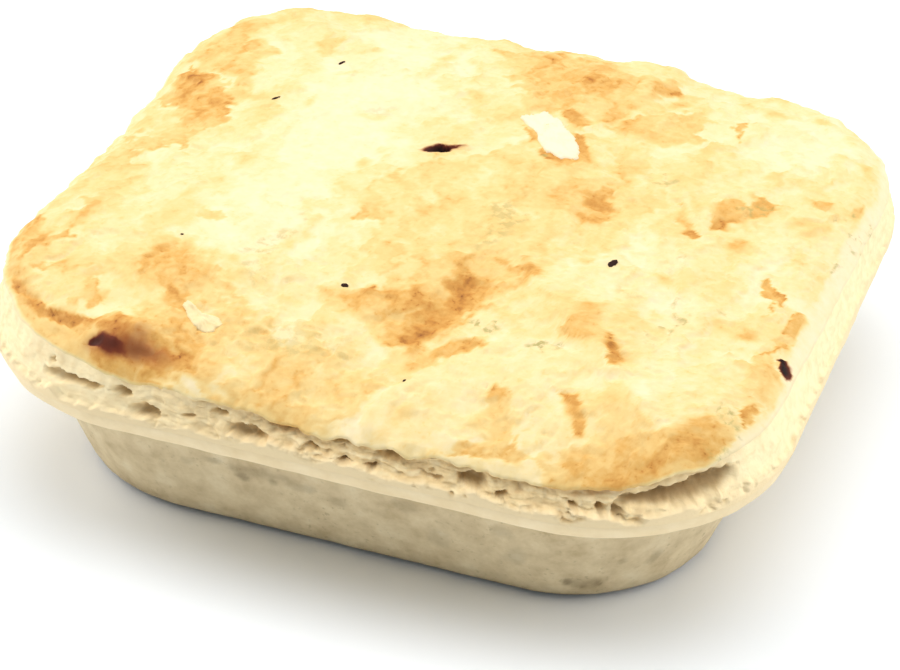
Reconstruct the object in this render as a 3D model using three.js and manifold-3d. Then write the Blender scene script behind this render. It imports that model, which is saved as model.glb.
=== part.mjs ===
// A square beef pie, out of its baking tin: a moulded shortcrust case with a turned-out lip,
// and a lid of puff pastry baked on to it. The pie is uncut, so both pieces are solid.
// Millimetres, +Z up. The origin is the middle of the underside, and -Y is the front.
import * as THREE from "three";
import { mergeVertices } from "three/addons/utils/BufferGeometryUtils.js";
import Module from "manifold-3d";

const wasm = await Module();
wasm.setup();

// The lip's outer edge, seen from above, is the widest outline of the pie.
const LIP_LENGTH = 110;
const LIP_WIDTH = 107;
const LIP_CORNER = 26.5;
const CORNER_EASE = 0.6; // how much of an inset the corner radius loses

// The case, from the surface that it stands on to the top of its lip.
const CASE_HEIGHT = 21;
const LIP_THICKNESS = 2.2;
const LIP_ROUND = 0.7;
const LIP_FILLET = 1.6;
const WALL_TOP_INSET = 5.4;
const FOOT_INSET = 11;
const FOOT_ROUND = 2.6;
const WALL_BELLY = 0.4; // how far the wall swells between foot and lip
const WALL_DENT = 0.35;
const WALL_DENT_LENGTH = 14;
const CASE_STATIONS = 24; // for each side of the case
const WALL_STEPS = 4;
const FOOT_STEPS = 4;
const FILLET_STEPS = 3;
const LIP_STEPS = 2;

// The lid rests on the lip. A place counts the corners round the pie: 0 front right, 1 back right,
// 2 back left, 3 front left. The lid's edge is uneven, so each place along it has its height above
// the lip and its inset from the lip's edge.
const SEAM = 0.1;
const EDGE = [
  { place: 0, height: 5.2, inset: 2.8 },
  { place: 0.5, height: 5, inset: 2 },
  { place: 0.8, height: 5.2, inset: 1.4 },
  { place: 1, height: 5, inset: 0.9 },
  { place: 1.2, height: 4.2, inset: 1.3 },
  { place: 1.36, height: 6.7, inset: 1.2 },
  { place: 1.52, height: 5.6, inset: 1.3 },
  { place: 1.75, height: 5, inset: 1.4 },
  { place: 2, height: 7.8, inset: 1.4 },
  { place: 2.45, height: 5.4, inset: 1.2 },
  { place: 2.8, height: 7, inset: 1.2 },
  { place: 3, height: 6.6, inset: 3.4 },
  { place: 3.2, height: 5.6, inset: 2.8 },
  { place: 3.5, height: 4, inset: 1.9 },
];
const EDGE_WAVE = 0.45;
const EDGE_WAVE_LENGTH = 9;
const LID_FOOT_INSET = 0.9;
const CROWN = 2.2; // how far the edge rolls up on to the top
const CROWN_RUN = 5;
const DOME = 2.6;
const GRID = 42; // cells across the lid's top
const EDGE_CROWDING = 0.45; // share by which the cells crowd towards the edge

// The side of the lid: share of its height, and how far the layers stand back there.
const SIDE_LAYERS = [
  [0, 0],
  [0.14, -0.4],
  [0.36, -0.2],
  [0.55, 0.4],
  [0.74, 0.8],
  [0.9, 0.45],
];
const LAYER_RAGGED = 0.3;
const LAYER_GRAIN = 3.2;
const LAYER_COUNT = 6;
const LAYER_SWING = 0.6; // how much deeper or shallower the layers stand back along the side
const LAYER_SWING_LENGTH = 16;

// Swells and hollows of the top: middle, half length, half width, turn in degrees, rise.
const SWELLS = {
  centreMound: { x: 2, y: -6, along: 20, across: 24, turn: 0, rise: 1.4 },
  centreCrease: { x: 8, y: -26, along: 9, across: 3, turn: 75, rise: -1.1 },
  leftRidge: { x: -24, y: 4, along: 28, across: 8, turn: 80, rise: 0.7 },
  rightDip: { x: 20, y: 2, along: 22, across: 6, turn: 90, rise: -0.7 },
  frontRightPillow: { x: 38, y: -38, along: 12, across: 8, turn: 40, rise: 0.8 },
  frontLeftPillow: { x: -32, y: -28, along: 12, across: 9, turn: -30, rise: 0.9 },
  backPillow: { x: 6, y: 38, along: 14, across: 8, turn: 0, rise: 0.6 },
  burntBlister: { x: -29, y: -46.5, along: 4.6, across: 2.4, turn: 12, rise: 1.7 },
  rightBlister: { x: 26, y: -21, along: 5, across: 3, turn: -50, rise: 0.7 },
};
const SWELL_FADE = 6; // distance from the edge over which the swells fade in
const TOP_GRAIN = 7;
const TOP_RAGGED = 0.3;

// Flakes of the top layer that have lifted: middle, length, width, turn and tilt in degrees.
const FLAKES = {
  paleFlake: { x: 5.4, y: 22.8, length: 15, width: 6, turn: -47, tilt: 0 },
  smallPaleFlake: { x: -21.6, y: -39.8, length: 8, width: 3.6, turn: -28, tilt: 0 },
  curlHigh: { x: 34, y: 12.5, length: 9, width: 5, turn: 30, tilt: 14 },
  curlLow: { x: 30.5, y: 7, length: 7, width: 3, turn: 68, tilt: -12 },
  backRightFlake: { x: 31, y: 26, length: 11, width: 5, turn: 15, tilt: 5 },
  frontFlakeLeft: { x: 6, y: -45, length: 13, width: 7, turn: 10, tilt: 0 },
  frontFlakeMiddle: { x: 19, y: -43.5, length: 11, width: 6, turn: 62, tilt: 4 },
  frontFlakeRight: { x: 27, y: -45, length: 9, width: 4, turn: 70, tilt: 5 },
  frontFlakeEdge: { x: 20.5, y: -49.5, length: 11, width: 3.4, turn: 4, tilt: 0 },
  rightFlake: { x: 45.5, y: -20, length: 10, width: 4, turn: 84, tilt: 4 },
  leftFlake: { x: -45, y: 12, length: 16, width: 5, turn: 62, tilt: 0 },
};
const FLAKE_RISE = 0.55;
const FLAKE_ROOT = 1.2;
const FLAKE_POINTS = 11;
const FLAKE_RAGGED = 0.22;

// The steam vent is a short curved slit in the top.
const VENT = { x: -6.4, y: 10.8, length: 7, width: 1.3, depth: 3, sag: 1.1, turn: 26 };

// Air holes in the layers of the side. Level is the share of the lid's side there.
const FRONT_HOLES = [
  { place: 3.13, level: 0.6, length: 7.4, height: 1.6 },
  { place: 3.215, level: 0.66, length: 2.8, height: 1.3 },
  { place: 3.255, level: 0.36, length: 4, height: 1.7 },
  { place: 3.355, level: 0.78, length: 2.2, height: 1.1 },
  { place: 3.4, level: 0.46, length: 5, height: 1.9 },
  { place: 3.445, level: 0.9, length: 3.4, height: 1.2 },
  { place: 3.53, level: 0.3, length: 3, height: 1.2 },
  { place: 3.6, level: 0.78, length: 3.6, height: 1.4 },
  { place: 3.712, level: 0.64, length: 4.4, height: 2 },
  { place: 3.75, level: 0.4, length: 2, height: 1.4 },
  { place: 3.845, level: 0.44, length: 2, height: 1.5 },
  { place: 3.89, level: 0.24, length: 1.8, height: 1.6 },
];
const CORNER_SPLIT = { from: 3.93, to: 4.05, low: 0.46, high: 0.72, length: 5.4, height: 1.9, count: 4 };
const HOLE_DEPTH = 1.7;

// Holes of the sides that face away are spread by chance, in the same range of sizes.
const HIDDEN_HOLES = { from: 0.16, to: 2.96, count: 14, seed: 41 };
const HIDDEN_LEVEL = [0.28, 0.85];
const HIDDEN_LENGTH = [1.8, 5.5];
const HIDDEN_HEIGHT = [1.1, 1.9];

// The open end of the burnt blister at the front left corner.
const MOUTH = { x: -33, y: -48.6, rise: 0.4, length: 3, width: 2.4, height: 2.2 };

const SHORTCRUST = new THREE.MeshStandardMaterial({ color: 0xd9c9a0, roughness: 0.8, metalness: 0 });
const PUFF = new THREE.MeshStandardMaterial({ color: 0xf0cf86, roughness: 0.65, metalness: 0 });

const UP = new THREE.Vector3(0, 0, 1);
const RAY_TRIES = 1600;

function random(i, j, seed) {
  let h = Math.imul(i, 374761393) + Math.imul(j, 668265263) + Math.imul(seed, 1442695041);
  h = Math.imul(h ^ (h >>> 13), 1274126177);
  return ((h ^ (h >>> 16)) >>> 0) / 4294967296;
}

// Smooth lattice noise from -1 to 1.
function noise(x, y, seed) {
  const i = Math.floor(x);
  const j = Math.floor(y);
  const ease = (f) => f * f * (3 - 2 * f);
  const u = ease(x - i);
  const v = ease(y - j);
  const low = THREE.MathUtils.lerp(random(i, j, seed), random(i + 1, j, seed), u);
  const high = THREE.MathUtils.lerp(random(i, j + 1, seed), random(i + 1, j + 1, seed), u);
  return 2 * THREE.MathUtils.lerp(low, high, v) - 1;
}

// A point of the lip's outline moved inwards, with the outward direction there.
function rimPoint(place, inset) {
  const whole = THREE.MathUtils.euclideanModulo(place, 4);
  const side = Math.floor(whole);
  const r = LIP_CORNER - CORNER_EASE * inset;
  const halves = [LIP_LENGTH / 2 - inset, LIP_WIDTH / 2 - inset];
  const reach = halves[side % 2];
  const straight = halves[(side + 1) % 2] - r;
  const walk = (whole - side - 0.5) * 2 * (straight + (r * Math.PI) / 4);
  const bend = (Math.sign(walk) * Math.max(0, Math.abs(walk) - straight)) / r;
  const forward = THREE.MathUtils.clamp(walk, -straight, straight) + r * Math.sin(bend);
  const outward = reach - r + r * Math.cos(bend);
  const quarter = (side * Math.PI) / 2;
  const facing = quarter + bend;
  return {
    x: outward * Math.cos(quarter) - forward * Math.sin(quarter),
    y: outward * Math.sin(quarter) + forward * Math.cos(quarter),
    facing,
  };
}

// Height or inset of the lid's edge, changing smoothly from station to station round the pie.
function alongEdge(size, place) {
  const whole = THREE.MathUtils.euclideanModulo(place, 4);
  const last = EDGE.findLastIndex((station) => station.place <= whole);
  const next = (last + 1) % EDGE.length;
  const end = next === 0 ? 4 : EDGE[next].place;
  const share = THREE.MathUtils.smoothstep(whole, EDGE[last].place, end);
  return THREE.MathUtils.lerp(EDGE[last][size], EDGE[next][size], share);
}

// Noise along the outline that closes on itself, read from a circle of the outline's length. Each
// level is a circle of its own, moved sideways.
function rimNoise(place, grain, level, seed) {
  const angle = (place * Math.PI) / 2;
  const radius = (LIP_LENGTH + LIP_WIDTH) / Math.PI / grain;
  return noise(radius * Math.cos(angle) + level, radius * Math.sin(angle) - level, seed);
}

function edgeHeight(place) {
  return alongEdge("height", place) + EDGE_WAVE * rimNoise(place, EDGE_WAVE_LENGTH, 0, 3);
}

function edgeInset(place) {
  return alongEdge("inset", place) + EDGE_WAVE * rimNoise(place, EDGE_WAVE_LENGTH, 0, 5);
}

const MEAN_EDGE_HEIGHT = EDGE.reduce((sum, { height }) => sum + height, 0) / EDGE.length;

function swell({ x, y, along, across, turn, rise }, px, py) {
  const angle = THREE.MathUtils.degToRad(turn);
  const u = (px - x) * Math.cos(angle) + (py - y) * Math.sin(angle);
  const v = (py - y) * Math.cos(angle) - (px - x) * Math.sin(angle);
  return rise * Math.exp(-0.5 * ((u / along) ** 2 + (v / across) ** 2));
}

// Height of the lid's top at a place round the pie and a share of the way from middle to edge.
function topPoint(place, share) {
  const edge = rimPoint(place, edgeInset(place));
  const x = edge.x * share;
  const y = edge.y * share;
  const fromEdge = (1 - share) * Math.hypot(edge.x, edge.y);
  const roll = 1 - Math.min(1, fromEdge / CROWN_RUN);
  const inner = 1 - share * share;
  const fade = Math.min(1, fromEdge / SWELL_FADE);
  const swells = Object.values(SWELLS).reduce((sum, s) => sum + swell(s, x, y), 0);
  const ragged = TOP_RAGGED * noise(x / TOP_GRAIN, y / TOP_GRAIN, 11);
  const edgeLevel = THREE.MathUtils.lerp(edgeHeight(place), MEAN_EDGE_HEIGHT, inner);
  const rounded = CROWN * Math.sqrt(1 - roll * roll) + DOME * inner;
  return new THREE.Vector3(x, y, CASE_HEIGHT + edgeLevel + rounded + fade * (swells + ragged));
}

// The same top, found from a plan position by walking out along its ray.
function topAt(x, y) {
  const ray = new THREE.Vector2(x, y);
  const gap = (place) => {
    const p = rimPoint(place, edgeInset(place));
    return ray.angleTo(new THREE.Vector2(p.x, p.y));
  };
  let best = 0;
  for (let k = 1; k < RAY_TRIES; k++) {
    if (gap((4 * k) / RAY_TRIES) < gap((4 * best) / RAY_TRIES)) best = k;
  }
  const place = (4 * best) / RAY_TRIES;
  const edge = rimPoint(place, edgeInset(place));
  return topPoint(place, Math.min(1, Math.hypot(x, y) / Math.hypot(edge.x, edge.y)));
}

function sidePoint(place, level) {
  const next = SIDE_LAYERS.findIndex(([share]) => share > level);
  const [lowShare, lowBack] = SIDE_LAYERS[next < 0 ? SIDE_LAYERS.length - 1 : next - 1];
  const [highShare, highBack] = next < 0 ? [1, 0] : SIDE_LAYERS[next];
  const back = THREE.MathUtils.mapLinear(level, lowShare, highShare, lowBack, highBack);
  const swing = 1 + LAYER_SWING * rimNoise(place, LAYER_SWING_LENGTH, 0, 19);
  const ragged = level > 0 ? LAYER_RAGGED * rimNoise(place, LAYER_GRAIN, level * LAYER_COUNT, 17) : 0;
  const inset = THREE.MathUtils.lerp(LID_FOOT_INSET, edgeInset(place), level) + back * swing + ragged;
  const p = rimPoint(place, Math.max(inset, LID_FOOT_INSET / 3));
  const z = THREE.MathUtils.lerp(CASE_HEIGHT + SEAM, CASE_HEIGHT + edgeHeight(place), level);
  return { point: new THREE.Vector3(p.x, p.y, z), facing: p.facing };
}

function closedGeometry(points, triangles) {
  const geometry = new THREE.BufferGeometry().setFromPoints(points);
  return geometry.setIndex(triangles.flat());
}

// Joins rings of equal count into one closed skin, from the lowest ring to the highest.
function loft(rings) {
  const count = rings[0].length;
  const points = rings.flat();
  const triangles = [];
  const quad = (a, b, c, d) => triangles.push([a, b, c], [a, c, d]);
  for (let level = 0; level + 1 < rings.length; level++) {
    for (let k = 0; k < count; k++) {
      const a = level * count + k;
      const b = level * count + ((k + 1) % count);
      quad(a, b, b + count, a + count);
    }
  }
  const middle = (ring) => new THREE.Vector3(0, 0, ring[0].z);
  const last = (rings.length - 1) * count;
  points.push(middle(rings[0]), middle(rings.at(-1)));
  for (let k = 0; k < count; k++) {
    const next = (k + 1) % count;
    triangles.push([points.length - 2, next, k], [points.length - 1, last + k, last + next]);
  }
  return closedGeometry(points, triangles);
}

// Inset and height up the case: foot round, wall, fillet under the lip, the lip's rolled edge.
function caseProfile() {
  const lipUnder = CASE_HEIGHT - LIP_THICKNESS;
  const flare = (FOOT_INSET - WALL_TOP_INSET) / lipUnder;
  const lean = Math.atan(flare);
  const wallInset = (z) => FOOT_INSET - flare * z;
  const profile = [];
  const arc = (inset, z, radius, from, to, steps) => {
    for (let k = 0; k <= steps; k++) {
      const angle = THREE.MathUtils.lerp(from, to, k / steps);
      profile.push([inset - radius * Math.cos(angle), z + radius * Math.sin(angle)]);
    }
  };
  const quarter = Math.PI / 2;
  const footCentre = wallInset(FOOT_ROUND) + FOOT_ROUND / Math.cos(lean);
  arc(footCentre, FOOT_ROUND, FOOT_ROUND, -quarter, -lean, FOOT_STEPS);
  const wallFoot = profile.at(-1)[1];
  const filletLevel = lipUnder - LIP_FILLET;
  const wallTop = filletLevel + LIP_FILLET * Math.sin(lean);
  for (let k = 1; k < WALL_STEPS; k++) {
    const share = k / WALL_STEPS;
    const z = THREE.MathUtils.lerp(wallFoot, wallTop, share);
    profile.push([wallInset(z) - WALL_BELLY * Math.sin(Math.PI * share), z]);
  }
  const filletCentre = wallInset(filletLevel) - LIP_FILLET / Math.cos(lean);
  arc(filletCentre, filletLevel, LIP_FILLET, Math.PI - lean, quarter, FILLET_STEPS);
  arc(LIP_ROUND, lipUnder + LIP_ROUND, LIP_ROUND, -quarter, 0, LIP_STEPS);
  arc(LIP_ROUND, CASE_HEIGHT - LIP_ROUND, LIP_ROUND, 0, quarter, LIP_STEPS);
  return profile;
}

function pastryCase() {
  const rings = caseProfile().map(([inset, z]) =>
    Array.from({ length: 4 * CASE_STATIONS }, (_, k) => {
      const place = k / CASE_STATIONS;
      const wallShare = THREE.MathUtils.clamp(inset / FOOT_INSET, 0, 1) * Math.min(1, z / FOOT_ROUND);
      const dent = WALL_DENT * wallShare * rimNoise(place, WALL_DENT_LENGTH, z / WALL_DENT_LENGTH, 23);
      const p = rimPoint(place, inset + dent);
      return new THREE.Vector3(p.x, p.y, z);
    }),
  );
  return loft(rings);
}

// The lid's skin: a grid of concentric squares bent to the outline for the top, the layered
// side below it, and a flat face that rests on the lip.
function lidSkin() {
  const stride = GRID + 1;
  const stations = 4 * GRID;
  const points = [];
  const triangles = [];
  const quad = (a, b, c, d) => triangles.push([a, b, c], [a, c, d]);
  for (let j = 0; j <= GRID; j++) {
    for (let i = 0; i <= GRID; i++) {
      const s = (2 * i) / GRID - 1;
      const t = (2 * j) / GRID - 1;
      const ring = Math.max(Math.abs(s), Math.abs(t));
      let place = 0;
      if (ring > 0) {
        if (s === ring && t < ring) place = (t / ring + 1) / 2;
        else if (t === ring && s > -ring) place = 1 + (1 - s / ring) / 2;
        else if (s === -ring && t > -ring) place = 2 + (1 - t / ring) / 2;
        else place = 3 + (s / ring + 1) / 2;
      }
      const share = THREE.MathUtils.lerp(ring, Math.sin((ring * Math.PI) / 2), EDGE_CROWDING);
      points.push(topPoint(place, share));
    }
  }
  for (let j = 0; j < GRID; j++) {
    for (let i = 0; i < GRID; i++) {
      const a = j * stride + i;
      const risingDiagonal = i < GRID / 2 === j < GRID / 2;
      if (risingDiagonal) quad(a, a + 1, a + stride + 1, a + stride);
      else quad(a + 1, a + stride + 1, a + stride, a);
    }
  }
  const rimCell = (k) => {
    const along = k % GRID;
    const cells = [
      [GRID, along],
      [GRID - along, GRID],
      [0, GRID - along],
      [along, 0],
    ];
    const [i, j] = cells[Math.floor(k / GRID) % 4];
    return j * stride + i;
  };
  let upper = Array.from({ length: stations }, (_, k) => rimCell(k));
  for (const [level] of [...SIDE_LAYERS].reverse()) {
    const lower = upper.map((_, k) => points.push(sidePoint(k / GRID, level).point) - 1);
    upper.forEach((u, k) => {
      const next = (k + 1) % stations;
      quad(lower[k], lower[next], upper[next], u);
    });
    upper = lower;
  }
  const middle = points.push(new THREE.Vector3(0, 0, CASE_HEIGHT + SEAM)) - 1;
  upper.forEach((u, k) => triangles.push([middle, upper[(k + 1) % stations], u]));
  return closedGeometry(points, triangles);
}

function solidOf(geometry) {
  const bare = geometry.clone();
  bare.deleteAttribute("normal");
  bare.deleteAttribute("uv");
  const merged = mergeVertices(bare, 1e-4);
  const mesh = new wasm.Mesh({
    numProp: 3,
    vertProperties: new Float32Array(merged.attributes.position.array),
    triVerts: new Uint32Array(merged.index.array),
  });
  return new wasm.Manifold(mesh);
}

function geometryOf(solid) {
  const mesh = solid.getMesh();
  const geometry = new THREE.BufferGeometry();
  geometry.setAttribute("position", new THREE.BufferAttribute(mesh.vertProperties, 3));
  geometry.setIndex(new THREE.BufferAttribute(mesh.triVerts, 1));
  geometry.computeVertexNormals();
  return geometry;
}

function turned(degrees) {
  return new THREE.Matrix4().makeRotationZ(THREE.MathUtils.degToRad(degrees));
}

// A ragged plate of pastry that follows the slope of the top, rooted in it.
function flakeSolid({ x, y, length, width, turn, tilt }, seed) {
  const outline = Array.from({ length: FLAKE_POINTS }, (_, k) => {
    const angle = (2 * Math.PI * k) / FLAKE_POINTS;
    const reach = 0.5 + FLAKE_RAGGED * (random(k, seed, 31) - 0.5);
    return new THREE.Vector2(length * reach * Math.cos(angle), width * reach * Math.sin(angle));
  });
  const plate = new THREE.ExtrudeGeometry(new THREE.Shape(outline), {
    depth: FLAKE_RISE + FLAKE_ROOT,
    bevelEnabled: false,
  });
  const step = 1.5;
  const middle = topAt(x, y);
  const slope = (dx, dy) => topAt(x + dx, y + dy).sub(topAt(x - dx, y - dy));
  const normal = slope(step, 0).cross(slope(0, step)).normalize();
  const lean = new THREE.Quaternion().setFromUnitVectors(UP, normal);
  plate.translate(0, 0, -FLAKE_ROOT);
  plate.rotateX(THREE.MathUtils.degToRad(tilt));
  plate.applyMatrix4(turned(turn));
  plate.applyQuaternion(lean);
  plate.translate(middle.x, middle.y, middle.z);
  return solidOf(plate);
}

// A crescent cut down into the top.
function ventSolid() {
  const { x, y, length, width, depth, sag, turn } = VENT;
  const slit = new THREE.Shape();
  slit.moveTo(-length / 2, 0);
  slit.quadraticCurveTo(0, 2 * sag + width, length / 2, 0);
  slit.quadraticCurveTo(0, 2 * sag - width, -length / 2, 0);
  const cutter = new THREE.ExtrudeGeometry(slit, { depth: 2 * depth, bevelEnabled: false, curveSegments: 6 });
  const surface = topAt(x, y);
  cutter.applyMatrix4(turned(turn));
  cutter.translate(x, y, surface.z - depth);
  return solidOf(cutter);
}

// An egg-shaped hollow, lying along the side of the lid at a place and a level.
function holeSolid({ place, level, length, height }) {
  const { point, facing } = sidePoint(place, level);
  const egg = new THREE.IcosahedronGeometry(1, 1);
  egg.scale(HOLE_DEPTH, length / 2, height / 2);
  egg.rotateZ(facing);
  egg.translate(point.x, point.y, point.z);
  return solidOf(egg);
}

function hiddenHoles() {
  const { from, to, count, seed } = HIDDEN_HOLES;
  const between = ([low, high], share) => THREE.MathUtils.lerp(low, high, share);
  return Array.from({ length: count }, (_, k) => ({
    place: between([from, to], (k + random(k, 1, seed)) / count),
    level: between(HIDDEN_LEVEL, random(k, 2, seed)),
    length: between(HIDDEN_LENGTH, random(k, 3, seed) ** 2),
    height: between(HIDDEN_HEIGHT, random(k, 4, seed)),
  }));
}

function splitHoles() {
  const { from, to, low, high, length, height, count } = CORNER_SPLIT;
  return Array.from({ length: count }, (_, k) => {
    const share = k / (count - 1);
    return {
      place: THREE.MathUtils.lerp(from, to, share),
      level: THREE.MathUtils.lerp(low, high, share),
      length,
      height,
    };
  });
}

function blisterMouth() {
  const { x, y, rise, length, width, height } = MOUTH;
  const egg = new THREE.IcosahedronGeometry(1, 1);
  egg.scale(length / 2, width / 2, height / 2);
  egg.translate(x, y, topAt(x, y).z + rise);
  return solidOf(egg);
}

function puffLid() {
  const flakes = Object.values(FLAKES).map((flake, k) => flakeSolid(flake, k));
  const holes = [...FRONT_HOLES, ...splitHoles(), ...hiddenHoles()].map(holeSolid);
  const withFlakes = flakes.reduce((lid, flake) => lid.add(flake), solidOf(lidSkin()));
  const cuts = [ventSolid(), blisterMouth(), ...holes];
  return geometryOf(cuts.reduce((lid, cut) => lid.subtract(cut), withFlakes));
}

function piece(name, geometry, material) {
  const mesh = new THREE.Mesh(geometry, material);
  mesh.name = name;
  return mesh;
}

const pie = new THREE.Group();
pie.add(piece("pastry_case", pastryCase(), SHORTCRUST));
pie.add(piece("puff_lid", puffLid(), PUFF));

export default pie;
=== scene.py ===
"""Looks of a square beef pie: a moulded shortcrust case under a flaky puff pastry lid.

Sizes are in millimetres until a mesh is made. The frame is the part's own: the origin is the
middle of the underside, +X runs along the front edge, +Y to the back and +Z up.
"""

import logging
import math
from dataclasses import dataclass, field
from enum import Enum
from typing import Any, Mapping

import bpy
import numpy as np
from mathutils import Matrix, Vector
from mathutils.bvhtree import BVHTree


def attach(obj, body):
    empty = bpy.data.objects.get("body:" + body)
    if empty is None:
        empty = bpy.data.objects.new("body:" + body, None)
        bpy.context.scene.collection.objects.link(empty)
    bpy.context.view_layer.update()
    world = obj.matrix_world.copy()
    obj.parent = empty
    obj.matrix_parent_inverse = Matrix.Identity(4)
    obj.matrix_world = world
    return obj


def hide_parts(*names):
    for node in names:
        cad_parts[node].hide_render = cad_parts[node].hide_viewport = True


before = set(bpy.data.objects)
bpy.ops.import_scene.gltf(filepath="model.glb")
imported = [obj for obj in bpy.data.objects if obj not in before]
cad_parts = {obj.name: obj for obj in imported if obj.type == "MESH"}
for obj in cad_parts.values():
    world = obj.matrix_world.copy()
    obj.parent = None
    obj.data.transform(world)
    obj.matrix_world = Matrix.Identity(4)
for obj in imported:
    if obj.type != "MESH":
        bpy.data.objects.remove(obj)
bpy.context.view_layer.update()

LOG = logging.getLogger("beef_pie")
MM = 0.001
Array = np.ndarray


class Paint(Enum):
    """Surface values that the meshes carry for their materials."""

    TOAST = "toast"
    CHAR = "char"
    CRAZED_AND_SHADED = "crazed_and_shaded"
    CREAM = "cream"
    HOLLOW_SHADE = "painted_hollow_shade"
    LIP = "lip"
    GRIME = "grime"
    STAIN_AND_FOOT_SHADE = "stain_and_foot_shade"


def linear(code: str) -> tuple[float, float, float, float]:
    """Turns an sRGB hex colour to linear light.

    Args:
        code: Six hex digits.

    Returns:
        Red, green, blue and an alpha of 1.
    """
    parts = [int(code[k : k + 2], 16) / 255 for k in (0, 2, 4)]
    r, g, b = (c / 12.92 if c <= 0.04045 else ((c + 0.055) / 1.055) ** 2.4 for c in parts)
    return r, g, b, 1.0


def per_metre(size_mm: float) -> float:
    """Pattern scale that gives features of a real size, as a count in each metre."""
    return 1 / (size_mm * MM)


def ease(low: float | Array, high: float | Array, x: Array) -> Array:
    """Smooth step of x from 0 at low to 1 at high.

    Args:
        low: Where the step starts.
        high: Where it ends.
        x: Values to step.

    Returns:
        The stepped values.
    """
    t = np.clip((x - low) / (high - low), 0, 1)
    return t * t * (3 - 2 * t)


def mix(a: float | Array, b: float | Array, share: float | Array) -> Array:
    """Value between a and b at a share of the way."""
    return a + (b - a) * share


def terrace(value: Array, steps: float) -> Array:
    """Draws values together into steps with narrow risers.

    Args:
        value: Values to draw together.
        steps: How many steps there are from 0 to 1.

    Returns:
        The stepped values.
    """
    level = value * steps
    whole = np.floor(level)
    return (whole + ease(0.28, 0.72, level - whole)) / steps


@dataclass(frozen=True)
class Grain:
    """Seeded gradient noise, from about -1 to 1 times its amount.

    Attributes:
        seed: Picks one pattern.
        size: Size of a feature in millimetres.
        octaves: How many ever finer patterns are added.
        amount: How strong it is.
        stretch: How many times longer the features are along x.
    """

    seed: int
    size: float
    octaves: int = 1
    amount: float = 1.0
    stretch: float = 1.0

    def _slopes(self, i: Array, j: Array, octave: int) -> tuple[Array, Array]:
        """Direction of the slope at lattice points.

        Args:
            i: Lattice columns.
            j: Lattice rows.
            octave: Which of the added patterns.

        Returns:
            Cosines and sines of the directions.
        """
        # Large odd multipliers and shifts mix the bits of the lattice numbers.
        salt = np.uint32((self.seed * 1442695041 + octave * 2654435769) & 0xFFFFFFFF)
        h = i.astype(np.uint32) * np.uint32(374761393)
        h = h + j.astype(np.uint32) * np.uint32(668265263) + salt
        h = (h ^ (h >> np.uint32(13))) * np.uint32(1274126177)
        h = (h ^ (h >> np.uint32(15))) * np.uint32(2246822519)
        angle = (h ^ (h >> np.uint32(16))) * (2 * math.pi / 2**32)
        return np.cos(angle), np.sin(angle)

    def _layer(self, x: Array, y: Array, wrap: int, octave: int) -> Array:
        """One pattern of the noise.

        Args:
            x: Positions in lattice cells.
            y: Positions in lattice cells.
            wrap: Cells after which x repeats, or 0.
            octave: Which of the added patterns.

        Returns:
            The noise values.
        """
        i = np.floor(x).astype(np.int64)
        j = np.floor(y).astype(np.int64)
        u, v = x - i, y - j

        def corner(di: int, dj: int) -> Array:
            """Slope of one lattice corner, carried to the points."""
            column = (i + di) % wrap if wrap else i + di
            gx, gy = self._slopes(column, j + dj, octave)
            return gx * (u - di) + gy * (v - dj)

        su, sv = (t**3 * (t * (t * 6 - 15) + 10) for t in (u, v))
        low = mix(corner(0, 0), corner(1, 0), su)
        high = mix(corner(0, 1), corner(1, 1), su)
        return 1.5 * mix(low, high, sv)

    def at(self, x: Array, y: Array, loop: float = 0) -> Array:
        """Noise at places.

        Args:
            x: Places in millimetres.
            y: Places in millimetres.
            loop: Length in millimetres after which x repeats, or 0.

        Returns:
            The noise values.
        """
        total = np.zeros(np.broadcast(x, y).shape)
        weight = 1.0
        size = self.size
        for octave in range(self.octaves):
            across = size * self.stretch
            wrap = max(1, round(loop / across)) if loop else 0
            step = loop / wrap if wrap else across
            total = total + weight * self._layer(x / step, y / size, wrap, octave)
            weight *= 0.5
            size *= 0.5
        return self.amount * total


@dataclass(frozen=True)
class Spot:
    """A patch, swell or groove of the lid's top, with an oval outline.

    Attributes:
        x: Middle, to the right.
        y: Middle, to the back.
        along: Half length.
        across: Half width.
        turn: Turn of the length from +X, in degrees.
        amount: How much it adds at its middle.
        soft: Share of the outline over which it fades.
    """

    x: float
    y: float
    along: float
    across: float
    turn: float
    amount: float
    soft: float = 0.4

    def reach(self, x: Array, y: Array) -> Array:
        """Distance from the middle, as a share of the outline's reach."""
        c, s = math.cos(math.radians(self.turn)), math.sin(math.radians(self.turn))
        u = ((x - self.x) * c + (y - self.y) * s) / self.along
        v = ((y - self.y) * c - (x - self.x) * s) / self.across
        return np.hypot(u, v)

    def patch(self, x: Array, y: Array) -> Array:
        """The amount inside the outline, fading across it."""
        return self.amount * ease(1 + self.soft, 1 - self.soft, self.reach(x, y))

    def swell(self, x: Array, y: Array) -> Array:
        """The amount as a bell, whose width the outline gives."""
        return self.amount * np.exp(-0.5 * self.reach(x, y) ** 2)


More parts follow.
